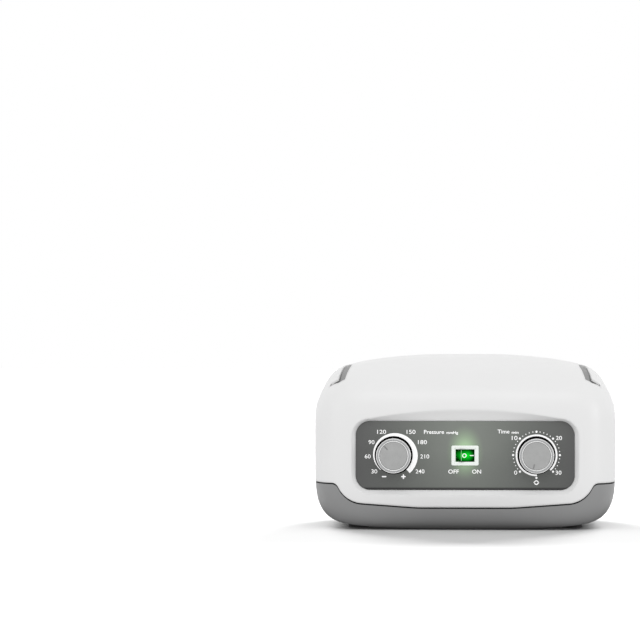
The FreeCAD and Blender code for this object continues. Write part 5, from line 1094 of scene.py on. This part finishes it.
# %% Floor
FLOOR_CARD = 0.60                               # paint of the floor, as the camera sees it
FLOOR_NEAR, FLOOR_FAR = 0.1, 0.86               # its glow, close by and far off
SHADE_NEAR, SHADE_FAR = 98 * MM, 140 * MM       # where close by ends and far off begins
SHADE_STRETCH = (0.8, 1, 0)                     # the shade is wider than it is deep


def stage_floor():
    """A square of 18 m, most of it behind the pump. Glow = near to far by the distance from the
    pump's middle, with x stretched."""
    mesh = bpy.data.meshes.new("floor")
    mesh.from_pydata([(-9, -5, 0), (9, -5, 0), (9, 13, 0), (-9, 13, 0)], [], [(0, 1, 2, 3)])
    floor = bpy.data.objects.new("floor", mesh)
    bpy.context.scene.collection.objects.link(floor)
    material, tree, skin = finish("floor_white", (FLOOR_CARD,) * 3, 0.9, Specular_IOR_Level=0.0)
    reach = length(tree, place(tree, stretch=SHADE_STRETCH))
    glow = add(tree, "Emission",
               Strength=level(tree, reach, FLOOR_NEAR, FLOOR_FAR, SHADE_NEAR, SHADE_FAR))
    seen = add(tree, "LightPath").outputs["Is Camera Ray"]
    pick = add(tree, "MixShader", n0=seen, n1=glow.outputs[0], n2=skin.outputs[0])
    tree.links.new(pick.outputs[0], tree.nodes["Material Output"].inputs["Surface"])
    mesh.materials.append(material)
    return floor


floor = stage_floor()
print("floor is laid")


# %% Surround
def surround(strength):
    """White to camera, glossy and transmitted rays; strength for the rest."""
    world = bpy.data.worlds.new("surround")
    bpy.context.scene.world = world
    world.use_nodes = True
    tree = world.node_tree
    path = add(tree, "LightPath")
    seen = maths(tree, "MAXIMUM", path.outputs["Is Camera Ray"], path.outputs["Is Glossy Ray"])
    seen = maths(tree, "MAXIMUM", seen, path.outputs["Is Transmission Ray"])
    light = level(tree, seen, strength, 1.0, 0, 1)
    tree.links.new(light, tree.nodes["Background"].inputs["Strength"])
    tree.nodes["Background"].inputs["Color"].default_value = (1, 1, 1, 1)


SURROUND_LIGHT = 0.87
surround(SURROUND_LIGHT)
print("surround is white, and lights at", SURROUND_LIGHT)


# %% Lamps
def soft_sun(name, right, front, top, width, only=None):
    """Distant lamp that adds this much to white faces that look right, to the front and up."""
    lamp = bpy.data.lights.new(name, "SUN")
    toward = Vector((right, -front, top))
    lamp.energy, lamp.angle = math.pi * toward.length, math.radians(width)
    holder = bpy.data.objects.new(name, lamp)
    bpy.context.scene.collection.objects.link(holder)
    holder.rotation_mode = "QUATERNION"
    holder.rotation_quaternion = toward.to_track_quat("Z", "Y")
    if only:
        lit = bpy.data.collections.new(name + "_lights")
        lit.objects.link(only)
        holder.light_linking.receiver_collection = lit


SUNS = {"sun_left": (-0.05, 0.03, 0.01, 40), "sun_right": (0.08, 0.035, 0.015, 24),
        "sun_front": (0.0, 0.07, 0.07, 40)}     # to the right, front and top, and width in degrees
FLOOR_SUNS = {"floor_left": (-0.70, -1.8, 0.70, 26), "floor_right": (0.70, -1.8, 0.70, 26)}
for name, aim in SUNS.items():
    soft_sun(name, *aim)
for name, aim in FLOOR_SUNS.items():
    soft_sun(name, *aim, floor)
print(len(SUNS), "lamps for all,", len(FLOOR_SUNS), "for the floor alone")

# %% [markdown]
# ## Camera
#
# A long lens stands 2.6 m in front of the panel and 150 mm above the table, and looks along +Y.
# It is turned a little to the left and up, so that the pump sits to the right of the middle of
# the frame and below it.

# %% Camera
CAMERA_AWAY, CAMERA_UP = 2.6, 0.150
LENS, SENSOR, FRAME = 187.9, 36.0, 640.0        # the frame in pixels
AIM_LEFT, AIM_UP = 145, 17.3                    # pixels that the pump moves by in the frame
camera = bpy.data.objects.new("camera", bpy.data.cameras.new("camera"))
bpy.context.scene.collection.objects.link(camera)
bpy.context.scene.camera = camera
camera.data.sensor_width = SENSOR
camera.data.lens = LENS
camera.data.clip_end = 60.0
camera.location = (0, PANEL_FACE - CAMERA_AWAY, CAMERA_UP)
PIXEL = SENSOR / LENS / FRAME
aside, above = math.atan(AIM_LEFT * PIXEL), math.atan(AIM_UP * PIXEL)
camera.rotation_euler = (math.pi / 2 + above, 0, aside)
bpy.context.scene.view_settings.view_transform = "Standard"
print("camera turned", round(math.degrees(aside), 2), "degrees left")

# %% End of the scene
print("scene is set")
